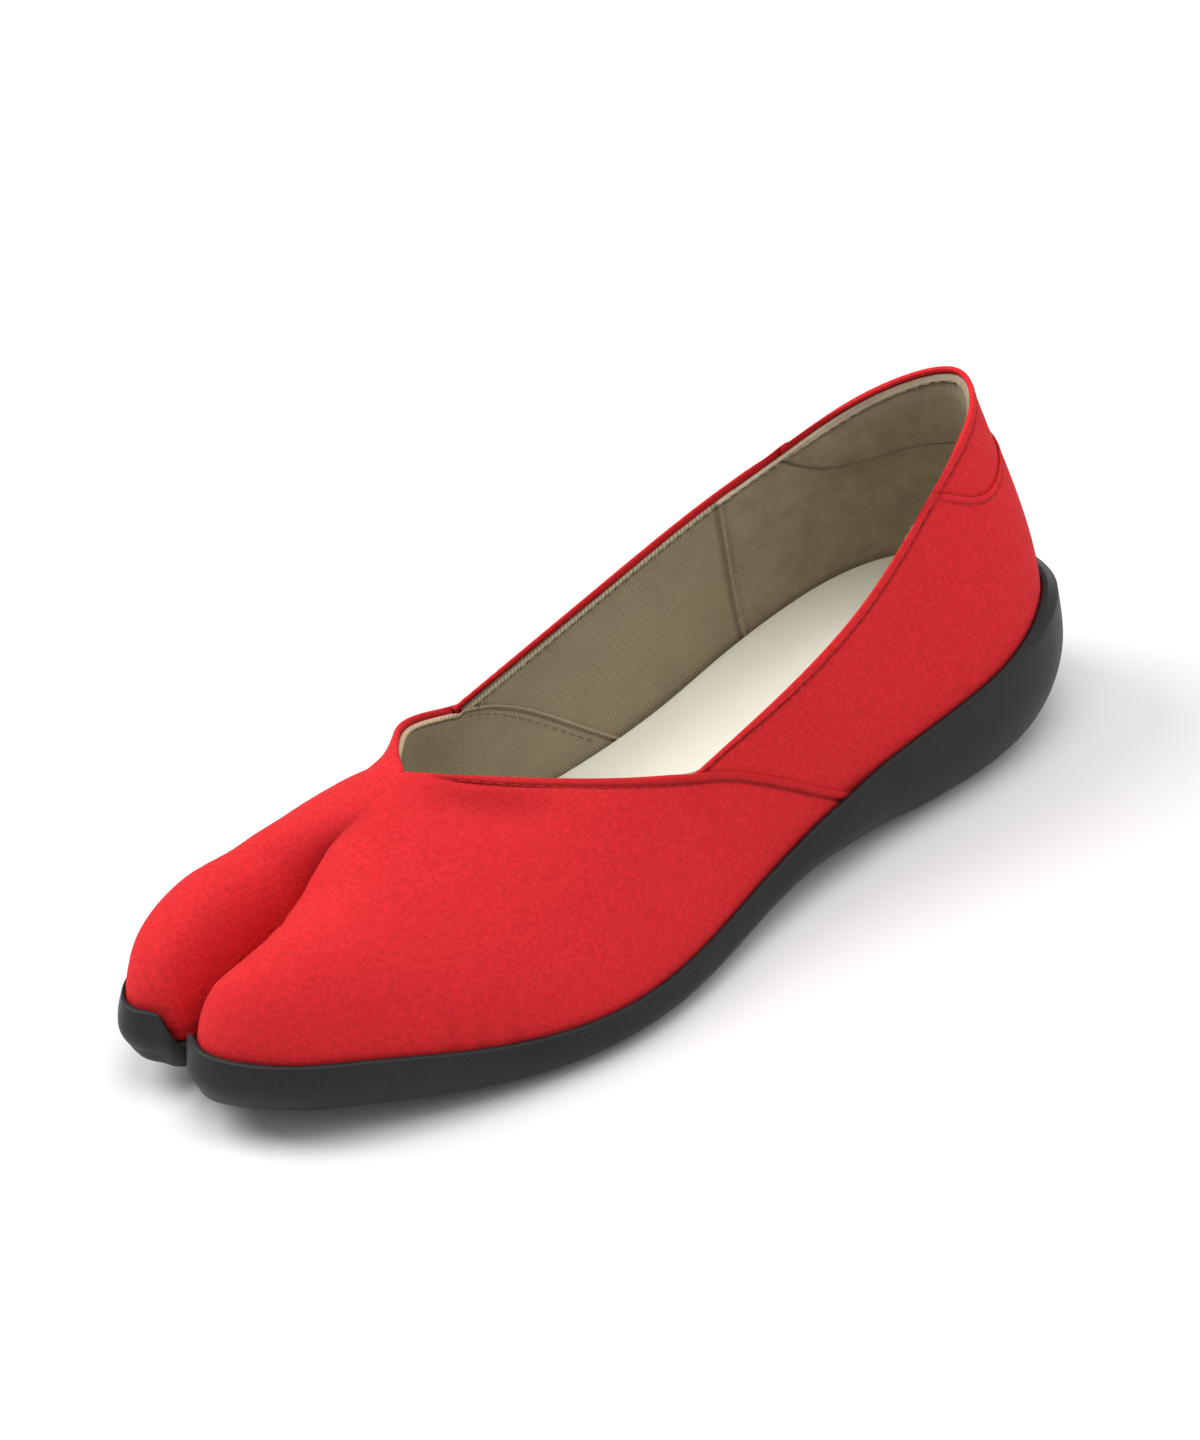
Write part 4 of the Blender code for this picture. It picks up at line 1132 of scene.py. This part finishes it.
def make_insole(material):
    """Cloth-covered sheet on the seat with a soft edge."""
    places = loop_places()
    inset = -(WALL + 2.0 * FIT_GAP + ROOT_RELIEF * smoothstep(*RELIEF_PLACES, np.abs(places)))
    under = seat_height(outline(places)[:, 1]) + FIT_GAP
    rings = []
    for angle in np.linspace(0.5 * math.pi, 0.0, 5):
        rings.append(ring_at(places, inset - INSOLE_BEVEL * math.sin(angle),
                             under + INSOLE_BEVEL * (1.0 - math.cos(angle - 0.5 * math.pi))))
    for angle in np.linspace(0.0, 0.5 * math.pi, 5):
        rings.append(ring_at(places, inset - INSOLE_BEVEL * (1.0 - math.cos(angle)),
                             under + INSOLE_THICKNESS - INSOLE_BEVEL * (1.0 - math.sin(angle))))
    top = (over_seat(FIT_GAP + INSOLE_THICKNESS), 14)
    return ring_piece("insole_sheet", rings[::-1], top, (over_seat(FIT_GAP), 4), material)


def stitch_row(path, tree, cloth):
    """Points and faces of the stitches along a path, each lying in the cloth that it pulls."""
    along = run_along(path)
    points = []
    faces = []
    sides = STITCH_SIDES
    turns = np.linspace(0.0, 2.0 * math.pi, sides, endpoint=False)
    bows = np.linspace(-1.0, 1.0, STITCH_RINGS)
    for middle in np.arange(cloth.pitch, along[-1] - cloth.pitch, cloth.pitch):
        ring_points = []
        for bow in bows:
            at = middle + STITCH_HALF * cloth.pitch * bow
            here = Vector([np.interp(at, along, path[:, axis]) for axis in range(3)])
            ahead = Vector([np.interp(at + 0.0002, along, path[:, axis]) for axis in range(3)])
            place, normal, _, _ = tree.find_nearest(here)
            way = (ahead - here).normalized()
            across = way.cross(normal).normalized()
            thick = 0.5 * cloth.thread * math.sqrt(max(0.12, 1.0 - bow ** 4))
            height = 0.35 * cloth.thread - 0.5 * cloth.thread * bow ** 2
            for turn in turns:
                up = height + thick * math.sin(turn)
                ring_points.append(place + normal * up + across * thick * math.cos(turn))
        start = len(points)
        points.extend(ring_points)
        for one in range(STITCH_RINGS - 1):
            for side in range(sides):
                after = (side + 1) % sides
                low = start + one * sides
                faces.append((low + side, low + after, low + sides + after, low + sides + side))
        last = start + (STITCH_RINGS - 1) * sides
        for base in (start, last):
            faces.append((base, base + 1, base + 2, base + 3))
            faces.append((base, base + 3, base + 4, base + 5))
    return np.array(points), np.array(faces)


def stitch_piece(name, paths, grounds, cloth, material):
    tree = search_tree(*grounds)
    points = []
    faces = []
    count = 0
    for path in paths:
        row_points, row_faces = stitch_row(path, tree, cloth)
        points.append(row_points)
        faces.append(row_faces + count)
        count += len(row_points)
    return new_piece(name, np.concatenate(points), np.concatenate(faces), material)


def inset_path(edge, inside, distance):
    """Line at a distance from an edge, towards the points of a line inside it."""
    way = unit(np.gradient(edge, axis=0))
    inward = inside - edge
    inward = unit(inward - (inward * way).sum(-1, keepdims=True) * way)
    for _ in range(6):
        inward[1:-1] = unit(inward[:-2] + 2.0 * inward[1:-1] + inward[2:])
    return edge + inward * np.broadcast_to(distance, len(edge))[:, None]


def vamp_inside():
    """Line just inside the vamp's edge, point for point."""
    rise = np.linspace(0.0, 1.0, 100)
    throat = np.linspace(SEAM, THROAT, 140)
    low = np.interp(throat, (SEAM, SEAM + 0.4, THROAT), (1.0, 0.97, 0.97))
    return np.concatenate([on_last(-SEAM - 0.1, rise), on_last(-throat - 0.08, low),
                           on_last(throat[::-1] + 0.08, low[::-1]), on_last(SEAM + 0.1, rise[::-1])])


def make_stitches(cloth, red_thread, beige_thread):
    edge = vamp_edge()
    band, sewn = vamp_sewing(run_along(edge), cloth)
    path = inset_path(edge, vamp_inside(), band)
    front = np.arange(len(edge)) - len(edge) // 2
    vamp = [path[(front < 0) & (sewn > 0.5)], path[(front > 0) & (sewn > 0.5)]]
    columns = np.linspace(-SEAM + 0.05, SEAM - 0.05, 300)
    top, below = on_last(columns, 1.0), on_last(columns, 0.95)
    collar = inset_path(top, below, collar_band(columns, cloth))
    sides = [collar[columns < -TAB_END + 0.25], collar[columns > TAB_END - 0.25]]
    back = collar[np.abs(columns) < TAB_END - 0.3]
    across = np.linspace(-TAB_END + 0.25, TAB_END - 0.25, 160)
    tab = quarter_top(across)
    seam = inset_path(on_last(across, tab), on_last(across, tab - 0.05), TAB_BAND)
    rows = (("vamp_stitches", vamp, "vamp"), ("collar_stitches", sides, "quarters"),
            ("tab_top_stitches", [back], "heel_tab"), ("tab_seam_stitches", [seam], "quarters"))
    for name, paths, ground in rows:
        stitch_piece(name, paths, [ground], cloth, red_thread)
    inside = inset_path(top, below, LINING_TOP + LINING_BAND)
    paths = [inside - INSIDE * last_normals(columns, 1.0)]
    rise = np.linspace(0.12, 0.96, 80)
    for side in (-1, 1):
        column = side * (SEAM + TOPSTITCH)
        paths.append(on_last(column, rise) - INSIDE * last_normals(column, rise))
    linings = ["quarter_lining_lateral", "quarter_lining_medial", "heel_grip", "heel_pad", "vamp_lining"]
    stitch_piece("lining_stitches", paths, linings, cloth, beige_thread)


def add_node(tree, kind, sockets=None, **settings):
    """New node; sockets maps an input's name or number to the socket that feeds it or to its value."""
    node = tree.nodes.new(kind)
    for name, value in settings.items():
        setattr(node, name, value)
    for key, value in (sockets or {}).items():
        if isinstance(value, bpy.types.NodeSocket):
            tree.links.new(value, node.inputs[key])
        else:
            node.inputs[key].default_value = value
    return node


def new_group(name, inputs, outputs):
    """Empty node group, what it is given and its results; inputs are rows of label, kind and default."""
    tree = bpy.data.node_groups.new(name, "ShaderNodeTree")
    for label, kind, value in inputs:
        tree.interface.new_socket(label, in_out="INPUT", socket_type=kind).default_value = value
    for label, kind in outputs:
        tree.interface.new_socket(label, in_out="OUTPUT", socket_type=kind)
    given = tree.nodes.new("NodeGroupInput")
    return tree, given.outputs, tree.nodes.new("NodeGroupOutput").inputs


def noise(tree, where, scale, detail=3.0, rough=0.55):
    node = add_node(tree, "ShaderNodeTexNoise", {"Vector": where, "Scale": scale, "Detail": detail,
                                                 "Roughness": rough})
    return node.outputs[0]


def spread(tree, value, low, high, start=0.0, end=1.0):
    """Value between low and high spread over start to end."""
    node = add_node(tree, "ShaderNodeMapRange", {0: value, 1: low, 2: high, 3: start, 4: end})
    return node.outputs[0]


def sums(tree, operation, one, two):
    return add_node(tree, "ShaderNodeMath", {0: one, 1: two}, operation=operation).outputs[0]


def blend(tree, factor, one, two, mode="MIX"):
    node = add_node(tree, "ShaderNodeMix", {0: factor, 6: one, 7: two}, data_type="RGBA", blend_type=mode)
    return node.outputs[2]


COLOR = "NodeSocketColor"
VALUE = "NodeSocketFloat"
VECTOR = "NodeSocketVector"


def nap_group():
    """Short nap: mottled colour and fine fibre relief, with painted shade along seams and creases and
    painted highlight on beads, from the Shade input.
    """
    tree, given, result = new_group(
        "short_nap",
        [("Base", COLOR, (0.5, 0.5, 0.5, 1.0)), ("Brushed", COLOR, (0.4, 0.4, 0.4, 1.0)),
         ("Worn", COLOR, (0.6, 0.6, 0.6, 1.0)), ("Fibre Scale", VALUE, 2600.0),
         ("Mottle Scale", VALUE, 110.0), ("Stroke Scale", VALUE, 700.0), ("Shade", VALUE, 0.0),
         ("Specks", VALUE, 0.3)],
        [("Color", COLOR), ("Height", VALUE), ("Roughness", VALUE)])
    where = add_node(tree, "ShaderNodeTexCoord").outputs["Object"]
    fibre = noise(tree, where, given["Fibre Scale"], 3.0, 0.7)
    mottle = noise(tree, where, given["Mottle Scale"], 4.0, 0.65)
    broad = noise(tree, where, 26.0, 2.0, 0.5)
    speck = noise(tree, where, 620.0, 1.0, 0.4)
    flat = add_node(tree, "ShaderNodeVectorMath", {0: where, 1: (0.7, 0.7, 2.0)}, operation="MULTIPLY")
    stroke = noise(tree, flat.outputs["Vector"], given["Stroke Scale"], 2.0, 0.5)
    color = blend(tree, spread(tree, mottle, 0.32, 0.62), given["Brushed"], given["Base"])
    color = blend(tree, spread(tree, broad, 0.45, 0.75, 0.0, 0.12), color, given["Worn"])
    color = blend(tree, spread(tree, fibre, 0.52, 0.80, 0.0, 0.45), color, given["Worn"])
    dark = sums(tree, "MULTIPLY", spread(tree, speck, 0.66, 0.76), given["Specks"])
    # Painted shade where Shade is above 0, joined with the real dark specks
    dark = sums(tree, "MAXIMUM", dark, sums(tree, "MULTIPLY", given["Shade"], 0.8))
    # Painted highlight where Shade is below 0, towards a lighter tint of the worn colour
    light = sums(tree, "MAXIMUM", sums(tree, "MULTIPLY", given["Shade"], -0.5), 0.0)
    pale = blend(tree, 1.0, given["Worn"], (1.5, 1.5, 1.6, 1.0), "MULTIPLY")
    color = blend(tree, light, color, pale)
    # Painted shade darkens towards a deep tint of the brushed colour
    deep = blend(tree, 1.0, given["Brushed"], (0.35, 0.35, 0.35, 1.0), "MULTIPLY")
    color = blend(tree, dark, color, deep)
    color = blend(tree, spread(tree, stroke, 0.55, 0.30, 0.0, 0.30), color, given["Brushed"])
    height = sums(tree, "ADD", sums(tree, "MULTIPLY", fibre, 0.5), sums(tree, "MULTIPLY", mottle, 0.5))
    height = sums(tree, "ADD", height, sums(tree, "MULTIPLY", stroke, 0.9))
    tree.links.new(color, result["Color"])
    tree.links.new(height, result["Height"])
    tree.links.new(spread(tree, mottle, 0.3, 0.7, 0.98, 0.86), result["Roughness"])
    return tree


def twill_group():
    """Fine twill: steep ribs crossed by short floats, with painted highlight and painted shade from the
    Shade input.
    """
    tree, given, result = new_group(
        "fine_twill",
        [("Rib", COLOR, (0.5, 0.5, 0.5, 1.0)), ("Valley", COLOR, (0.3, 0.3, 0.3, 1.0)),
         ("Across", VECTOR, (0.0, 1.0, 0.0)), ("Along", VECTOR, (0.0, 0.0, 1.0)),
         ("Pitch", VALUE, 0.0008), ("Shade", VALUE, 0.0)],
        [("Color", COLOR), ("Height", VALUE)])
    where = add_node(tree, "ShaderNodeTexCoord").outputs["Object"]
    turns = sums(tree, "DIVIDE", 2.0 * math.pi, given["Pitch"])
    across, along = (add_node(tree, "ShaderNodeVectorMath", {0: where, 1: given[way]},
                              operation="DOT_PRODUCT").outputs["Value"] for way in ("Across", "Along"))
    uneven = sums(tree, "MULTIPLY", noise(tree, where, 700.0, 2.0), 0.00022)
    phase = sums(tree, "MULTIPLY", sums(tree, "ADD", across, uneven), turns)
    rib = spread(tree, sums(tree, "SINE", phase, 0.0), -1.0, 1.0)
    float_phase = sums(tree, "ADD", sums(tree, "MULTIPLY", along, turns), phase)
    thread = spread(tree, sums(tree, "SINE", float_phase, 0.0), -1.0, 1.0)
    height = sums(tree, "ADD", sums(tree, "MULTIPLY", rib, 0.8), sums(tree, "MULTIPLY", thread, 0.2))
    color = blend(tree, height, given["Valley"], given["Rib"])
    soiled = spread(tree, noise(tree, where, 90.0, 3.0), 0.4, 0.7, 0.0, 0.25)
    color = blend(tree, soiled, color, given["Valley"])
    # Painted highlight where Shade is below 0, towards a lighter tint of the rib colour
    light = sums(tree, "MAXIMUM", sums(tree, "MULTIPLY", given["Shade"], -0.8), 0.0)
    pale = blend(tree, 1.0, given["Rib"], (1.6, 1.35, 1.3, 1.0), "MULTIPLY")
    color = blend(tree, light, color, pale)
    # Painted shade where Shade is above 0, towards a deep tint of the valley colour
    dark = sums(tree, "MAXIMUM", sums(tree, "MULTIPLY", given["Shade"], 0.7), 0.0)
    deep = blend(tree, 1.0, given["Valley"], (0.4, 0.4, 0.4, 1.0), "MULTIPLY")
    color = blend(tree, dark, color, deep)
    tree.links.new(color, result["Color"])
    tree.links.new(height, result["Height"])
    return tree


def rub_group():
    """Faint rubbing and dust: a broad mask broken up by fine grain."""
    tree, given, result = new_group(
        "rub_and_dust", [("Broad Scale", VALUE, 30.0), ("Grain Scale", VALUE, 1500.0)],
        [("Mask", VALUE), ("Grain", VALUE)])
    where = add_node(tree, "ShaderNodeTexCoord").outputs["Object"]
    broad = noise(tree, where, given["Broad Scale"], 4.0, 0.6)
    grain = noise(tree, where, given["Grain Scale"], 2.0, 0.5)
    mask = sums(tree, "MULTIPLY", spread(tree, broad, 0.42, 0.72), spread(tree, grain, 0.3, 0.7))
    tree.links.new(mask, result["Mask"])
    tree.links.new(grain, result["Grain"])
    return tree


def group_of(name):
    """A shared node group, built the first time it is asked for."""
    makers = {"short_nap": nap_group, "fine_twill": twill_group, "rub_and_dust": rub_group}
    return bpy.data.node_groups.get(name) or makers[name]()


def new_material(name, plain):
    """Material with its shader; plain maps sockets of the shader to values."""
    material = bpy.data.materials.new(name)
    material.use_nodes = True
    tree = material.node_tree
    shader = tree.nodes["Principled BSDF"]
    for key, value in plain.items():
        shader.inputs[key].default_value = value
    return material, tree, shader


def tinted(color, factor):
    return tuple(min(1.0, channel * factor) for channel in color) + (1.0,)


def shade_of(tree):
    # Painted light: above 0 painted shade, below 0 painted highlight
    return add_node(tree, "ShaderNodeAttribute", attribute_name="shade").outputs["Fac"]


def add_bump(tree, shader, height, distance, strength):
    node = add_node(tree, "ShaderNodeBump", {"Height": height, "Distance": distance, "Strength": strength})
    tree.links.new(node.outputs["Normal"], shader.inputs["Normal"])


def suede_material(name, color, fibre=2600.0, mottle=950.0, specks=0.12, relief=0.00022, sheen=0.12):
    found = bpy.data.materials.get(name)
    if found:
        return found
    material, tree, shader = new_material(name, {
        "Specular IOR Level": 0.22, "Sheen Weight": sheen, "Sheen Roughness": 0.45,
        "Sheen Tint": tinted(color, 1.5)})
    group = add_node(tree, "ShaderNodeGroup", node_tree=group_of("short_nap"))
    sockets = {"Base": tinted(color, 1.0), "Brushed": tinted(color, 0.76), "Worn": tinted(color, 1.20),
               "Fibre Scale": fibre, "Mottle Scale": mottle, "Specks": specks}
    for key, value in sockets.items():
        group.inputs[key].default_value = value
    tree.links.new(shade_of(tree), group.inputs["Shade"])
    tree.links.new(group.outputs["Color"], shader.inputs["Base Color"])
    tree.links.new(group.outputs["Roughness"], shader.inputs["Roughness"])
    add_bump(tree, shader, group.outputs["Height"], relief, 0.6)
    return material


def twill_material(name, color, lean):
    """Twill whose ribs lean back from upright by an angle."""
    material, tree, shader = new_material(name, {"Roughness": 0.85, "Specular IOR Level": 0.25})
    group = add_node(tree, "ShaderNodeGroup", node_tree=group_of("fine_twill"))
    group.inputs["Rib"].default_value = tinted(color, 1.25)
    group.inputs["Valley"].default_value = tinted(color, 0.6)
    group.inputs["Across"].default_value = (0.0, math.cos(lean), -math.sin(lean))
    group.inputs["Along"].default_value = (0.0, math.sin(lean), math.cos(lean))
    tree.links.new(shade_of(tree), group.inputs["Shade"])
    tree.links.new(group.outputs["Color"], shader.inputs["Base Color"])
    add_bump(tree, shader, group.outputs["Height"], 0.0002, 0.7)
    return material


def rubbed_material(name, plain, scales, mask, one, two):
    """Material whose colour goes from one to two by an output of the rub group, with its nodes."""
    material, tree, shader = new_material(name, plain)
    group = add_node(tree, "ShaderNodeGroup", scales, node_tree=group_of("rub_and_dust"))
    base = blend(tree, group.outputs[mask], one, two)
    tree.links.new(base, shader.inputs["Base Color"])
    return material, tree, shader, group.outputs


def rubber_material(color):
    material, tree, shader, rub = rubbed_material(
        "charcoal_rubber_moulded", {"Specular IOR Level": 0.3}, {}, "Mask",
        tinted(color, 0.20), tinted(color, 0.50))
    tree.links.new(spread(tree, rub["Mask"], 0.0, 1.0, 0.50, 0.66), shader.inputs["Roughness"])
    add_bump(tree, shader, rub["Grain"], 0.00006, 0.5)
    return material


def insole_material(color):
    material, tree, shader, rub = rubbed_material(
        "cream_insole_cloth", {"Specular IOR Level": 0.3},
        {"Broad Scale": 22.0, "Grain Scale": 2200.0}, "Mask", tinted(color, 1.0), tinted(color, 0.90))
    tree.links.new(spread(tree, rub["Grain"], 0.3, 0.7, 0.62, 0.78), shader.inputs["Roughness"])
    add_bump(tree, shader, rub["Grain"], 0.00008, 0.5)
    return material


def thread_material(name, color):
    material, tree, shader, rub = rubbed_material(
        name, {"Roughness": 0.6, "Specular IOR Level": 0.35}, {"Grain Scale": 5000.0}, "Grain",
        tinted(color, 0.7), tinted(color, 1.1))
    add_bump(tree, shader, rub["Grain"], 0.00005, 0.6)
    return material


class TABI_OT_outsole(bpy.types.Operator):
    """Build the moulded sole unit with its lip and tread"""
    bl_idname = "tabi_pump.outsole"
    bl_label = "Sole Unit"

    def execute(self, context):
        colours = context.scene.tabi_colours
        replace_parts(make_outsole(rubber_material(colours.rubber)), "outsole")
        return {"FINISHED"}


class TABI_OT_insole(bpy.types.Operator):
    """Build the cloth-covered insole"""
    bl_idname = "tabi_pump.insole"
    bl_label = "Insole"

    def execute(self, context):
        colours = context.scene.tabi_colours
        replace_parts(make_insole(insole_material(colours.insole)), "insole")
        return {"FINISHED"}


class TABI_OT_upper(bpy.types.Operator):
    """Build the vamp, the quarters and the heel tab"""
    bl_idname = "tabi_pump.upper"
    bl_label = "Upper"

    def execute(self, context):
        cloth = context.scene.tabi_cloth
        suede = suede_material("red_microsuede", context.scene.tabi_colours.suede)
        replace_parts(make_vamp(cloth, suede), "upper")
        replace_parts(make_quarters(cloth, suede), "upper")
        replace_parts(make_heel_tab(cloth, suede), "upper")
        return {"FINISHED"}


class TABI_OT_linings(bpy.types.Operator):
    """Build the twill linings, the heel grip and the heel pad"""
    bl_idname = "tabi_pump.linings"
    bl_label = "Linings"

    def execute(self, context):
        cloth = context.scene.tabi_cloth
        colours = context.scene.tabi_colours
        twill = twill_material("beige_twill", colours.lining, QUARTER_TWILL)
        vamp_twill = twill_material("beige_vamp_twill", colours.lining, VAMP_TWILL)
        nap = suede_material("beige_nap", colours.grip, 2200.0, 160.0, 0.2, 0.00018, 0.2)
        make_linings(cloth, twill, nap)
        make_vamp_lining(cloth, vamp_twill)
        make_heel_pad(cloth, nap)
        return {"FINISHED"}


class TABI_OT_stitches(bpy.types.Operator):
    """Sew the rows of stitches into their grooves"""
    bl_idname = "tabi_pump.stitches"
    bl_label = "Stitches"

    def execute(self, context):
        colours = context.scene.tabi_colours
        red_thread = thread_material("red_thread", tuple(0.7 * channel for channel in colours.suede))
        beige_thread = thread_material("beige_thread", tuple(0.6 * channel for channel in colours.lining))
        make_stitches(context.scene.tabi_cloth, red_thread, beige_thread)
        return {"FINISHED"}


def add_lamp(row, power):
    lamp = bpy.data.lights.new(row.name, "AREA")
    lamp.shape = "DISK"
    lamp.size = row.width
    lamp.energy = power
    holder = bpy.data.objects.new(row.name, lamp)
    holder.location = row.place
    way = Vector(LAMP_TARGET) - Vector(row.place)
    holder.rotation_euler = way.to_track_quat("-Z", "Y").to_euler()
    bpy.context.scene.collection.objects.link(holder)


def add_camera(stage):
    camera = bpy.data.cameras.new("camera")
    camera.sensor_fit = "VERTICAL"
    camera.sensor_height = 36.0
    camera.lens = stage.lens
    camera.clip_start = 0.01
    back = Vector((math.sin(stage.azimuth) * math.cos(stage.elevation),
                   -math.cos(stage.azimuth) * math.cos(stage.elevation), math.sin(stage.elevation)))
    right = (-back).cross(Vector((0.0, 0.0, 1.0))).normalized()
    up = right.cross(-back)
    cosine, sine = math.cos(stage.roll), math.sin(stage.roll)
    turned_right = right * cosine + up * sine
    turned_up = up * cosine - right * sine
    matrix = Matrix((turned_right, turned_up, back)).transposed().to_4x4()
    matrix.translation = Vector(stage.target) + back * stage.distance
    holder = bpy.data.objects.new("camera", camera)
    holder.matrix_world = matrix
    bpy.context.scene.collection.objects.link(holder)
    bpy.context.scene.camera = holder


def add_floor(color):
    """Wide pale floor with a faint grain."""
    corners = [(x * FLOOR_HALF, y * FLOOR_HALF, 0.0) for x, y in ((-1, -1), (1, -1), (1, 1), (-1, 1))]
    mesh = bpy.data.meshes.new("floor")
    mesh.from_pydata(corners, [], [(0, 1, 2, 3)])
    material, _, _, _ = rubbed_material(
        "pale_floor", {"Roughness": 0.9, "Specular IOR Level": 0.2},
        {"Broad Scale": 3.0, "Grain Scale": 500.0}, "Mask", tinted(color, 1.0), tinted(color, 0.985))
    mesh.materials.append(material)
    floor = bpy.data.objects.new("floor", mesh)
    bpy.context.scene.collection.objects.link(floor)


class TABI_OT_stage(bpy.types.Operator):
    """Set the floor, the soft lights and the camera"""
    bl_idname = "tabi_pump.stage"
    bl_label = "Stage"

    def execute(self, context):
        stage = context.scene.tabi_stage
        add_floor(context.scene.tabi_colours.floor)
        for row in LAMPS:
            add_lamp(row, getattr(stage, row.name))
        world = bpy.data.worlds.new("room")
        world.use_nodes = True
        background = world.node_tree.nodes["Background"]
        background.inputs["Color"].default_value = (1.0, 1.0, 1.0, 1.0)
        background.inputs["Strength"].default_value = stage.sky
        context.scene.world = world
        context.scene.view_settings.view_transform = "Standard"
        add_camera(stage)
        return {"FINISHED"}


class TABI_PT_panel(bpy.types.Panel):
    """Pieces of the shoe and the stage"""
    bl_label = "Tabi Pump"
    bl_idname = "TABI_PT_panel"
    bl_space_type = "VIEW_3D"
    bl_region_type = "UI"
    bl_category = "Tabi Pump"

    def draw(self, context):
        for operator in OPERATORS:
            self.layout.operator(operator.bl_idname)
        for group in (context.scene.tabi_cloth, context.scene.tabi_colours, context.scene.tabi_stage):
            box = self.layout.box()
            for name in group.bl_rna.properties.keys():
                if name not in {"rna_type", "name"}:
                    box.prop(group, name)


GROUPS = {"tabi_cloth": TabiCloth, "tabi_colours": TabiColours, "tabi_stage": TabiStage}
OPERATORS = (TABI_OT_outsole, TABI_OT_insole, TABI_OT_upper, TABI_OT_linings, TABI_OT_stitches,
             TABI_OT_stage)


def register():
    for name, group in GROUPS.items():
        bpy.utils.register_class(group)
        setattr(bpy.types.Scene, name, bpy.props.PointerProperty(type=group))
    for operator in OPERATORS:
        bpy.utils.register_class(operator)
    bpy.utils.register_class(TABI_PT_panel)


def unregister():
    bpy.utils.unregister_class(TABI_PT_panel)
    for operator in reversed(OPERATORS):
        bpy.utils.unregister_class(operator)
    for name, group in reversed(GROUPS.items()):
        delattr(bpy.types.Scene, name)
        bpy.utils.unregister_class(group)


def main():
    register()
    bpy.ops.tabi_pump.upper()
    bpy.ops.tabi_pump.outsole()
    bpy.ops.tabi_pump.insole()
    bpy.ops.tabi_pump.linings()
    bpy.ops.tabi_pump.stitches()
    bpy.ops.tabi_pump.stage()


if __name__ == "__main__":
    main()
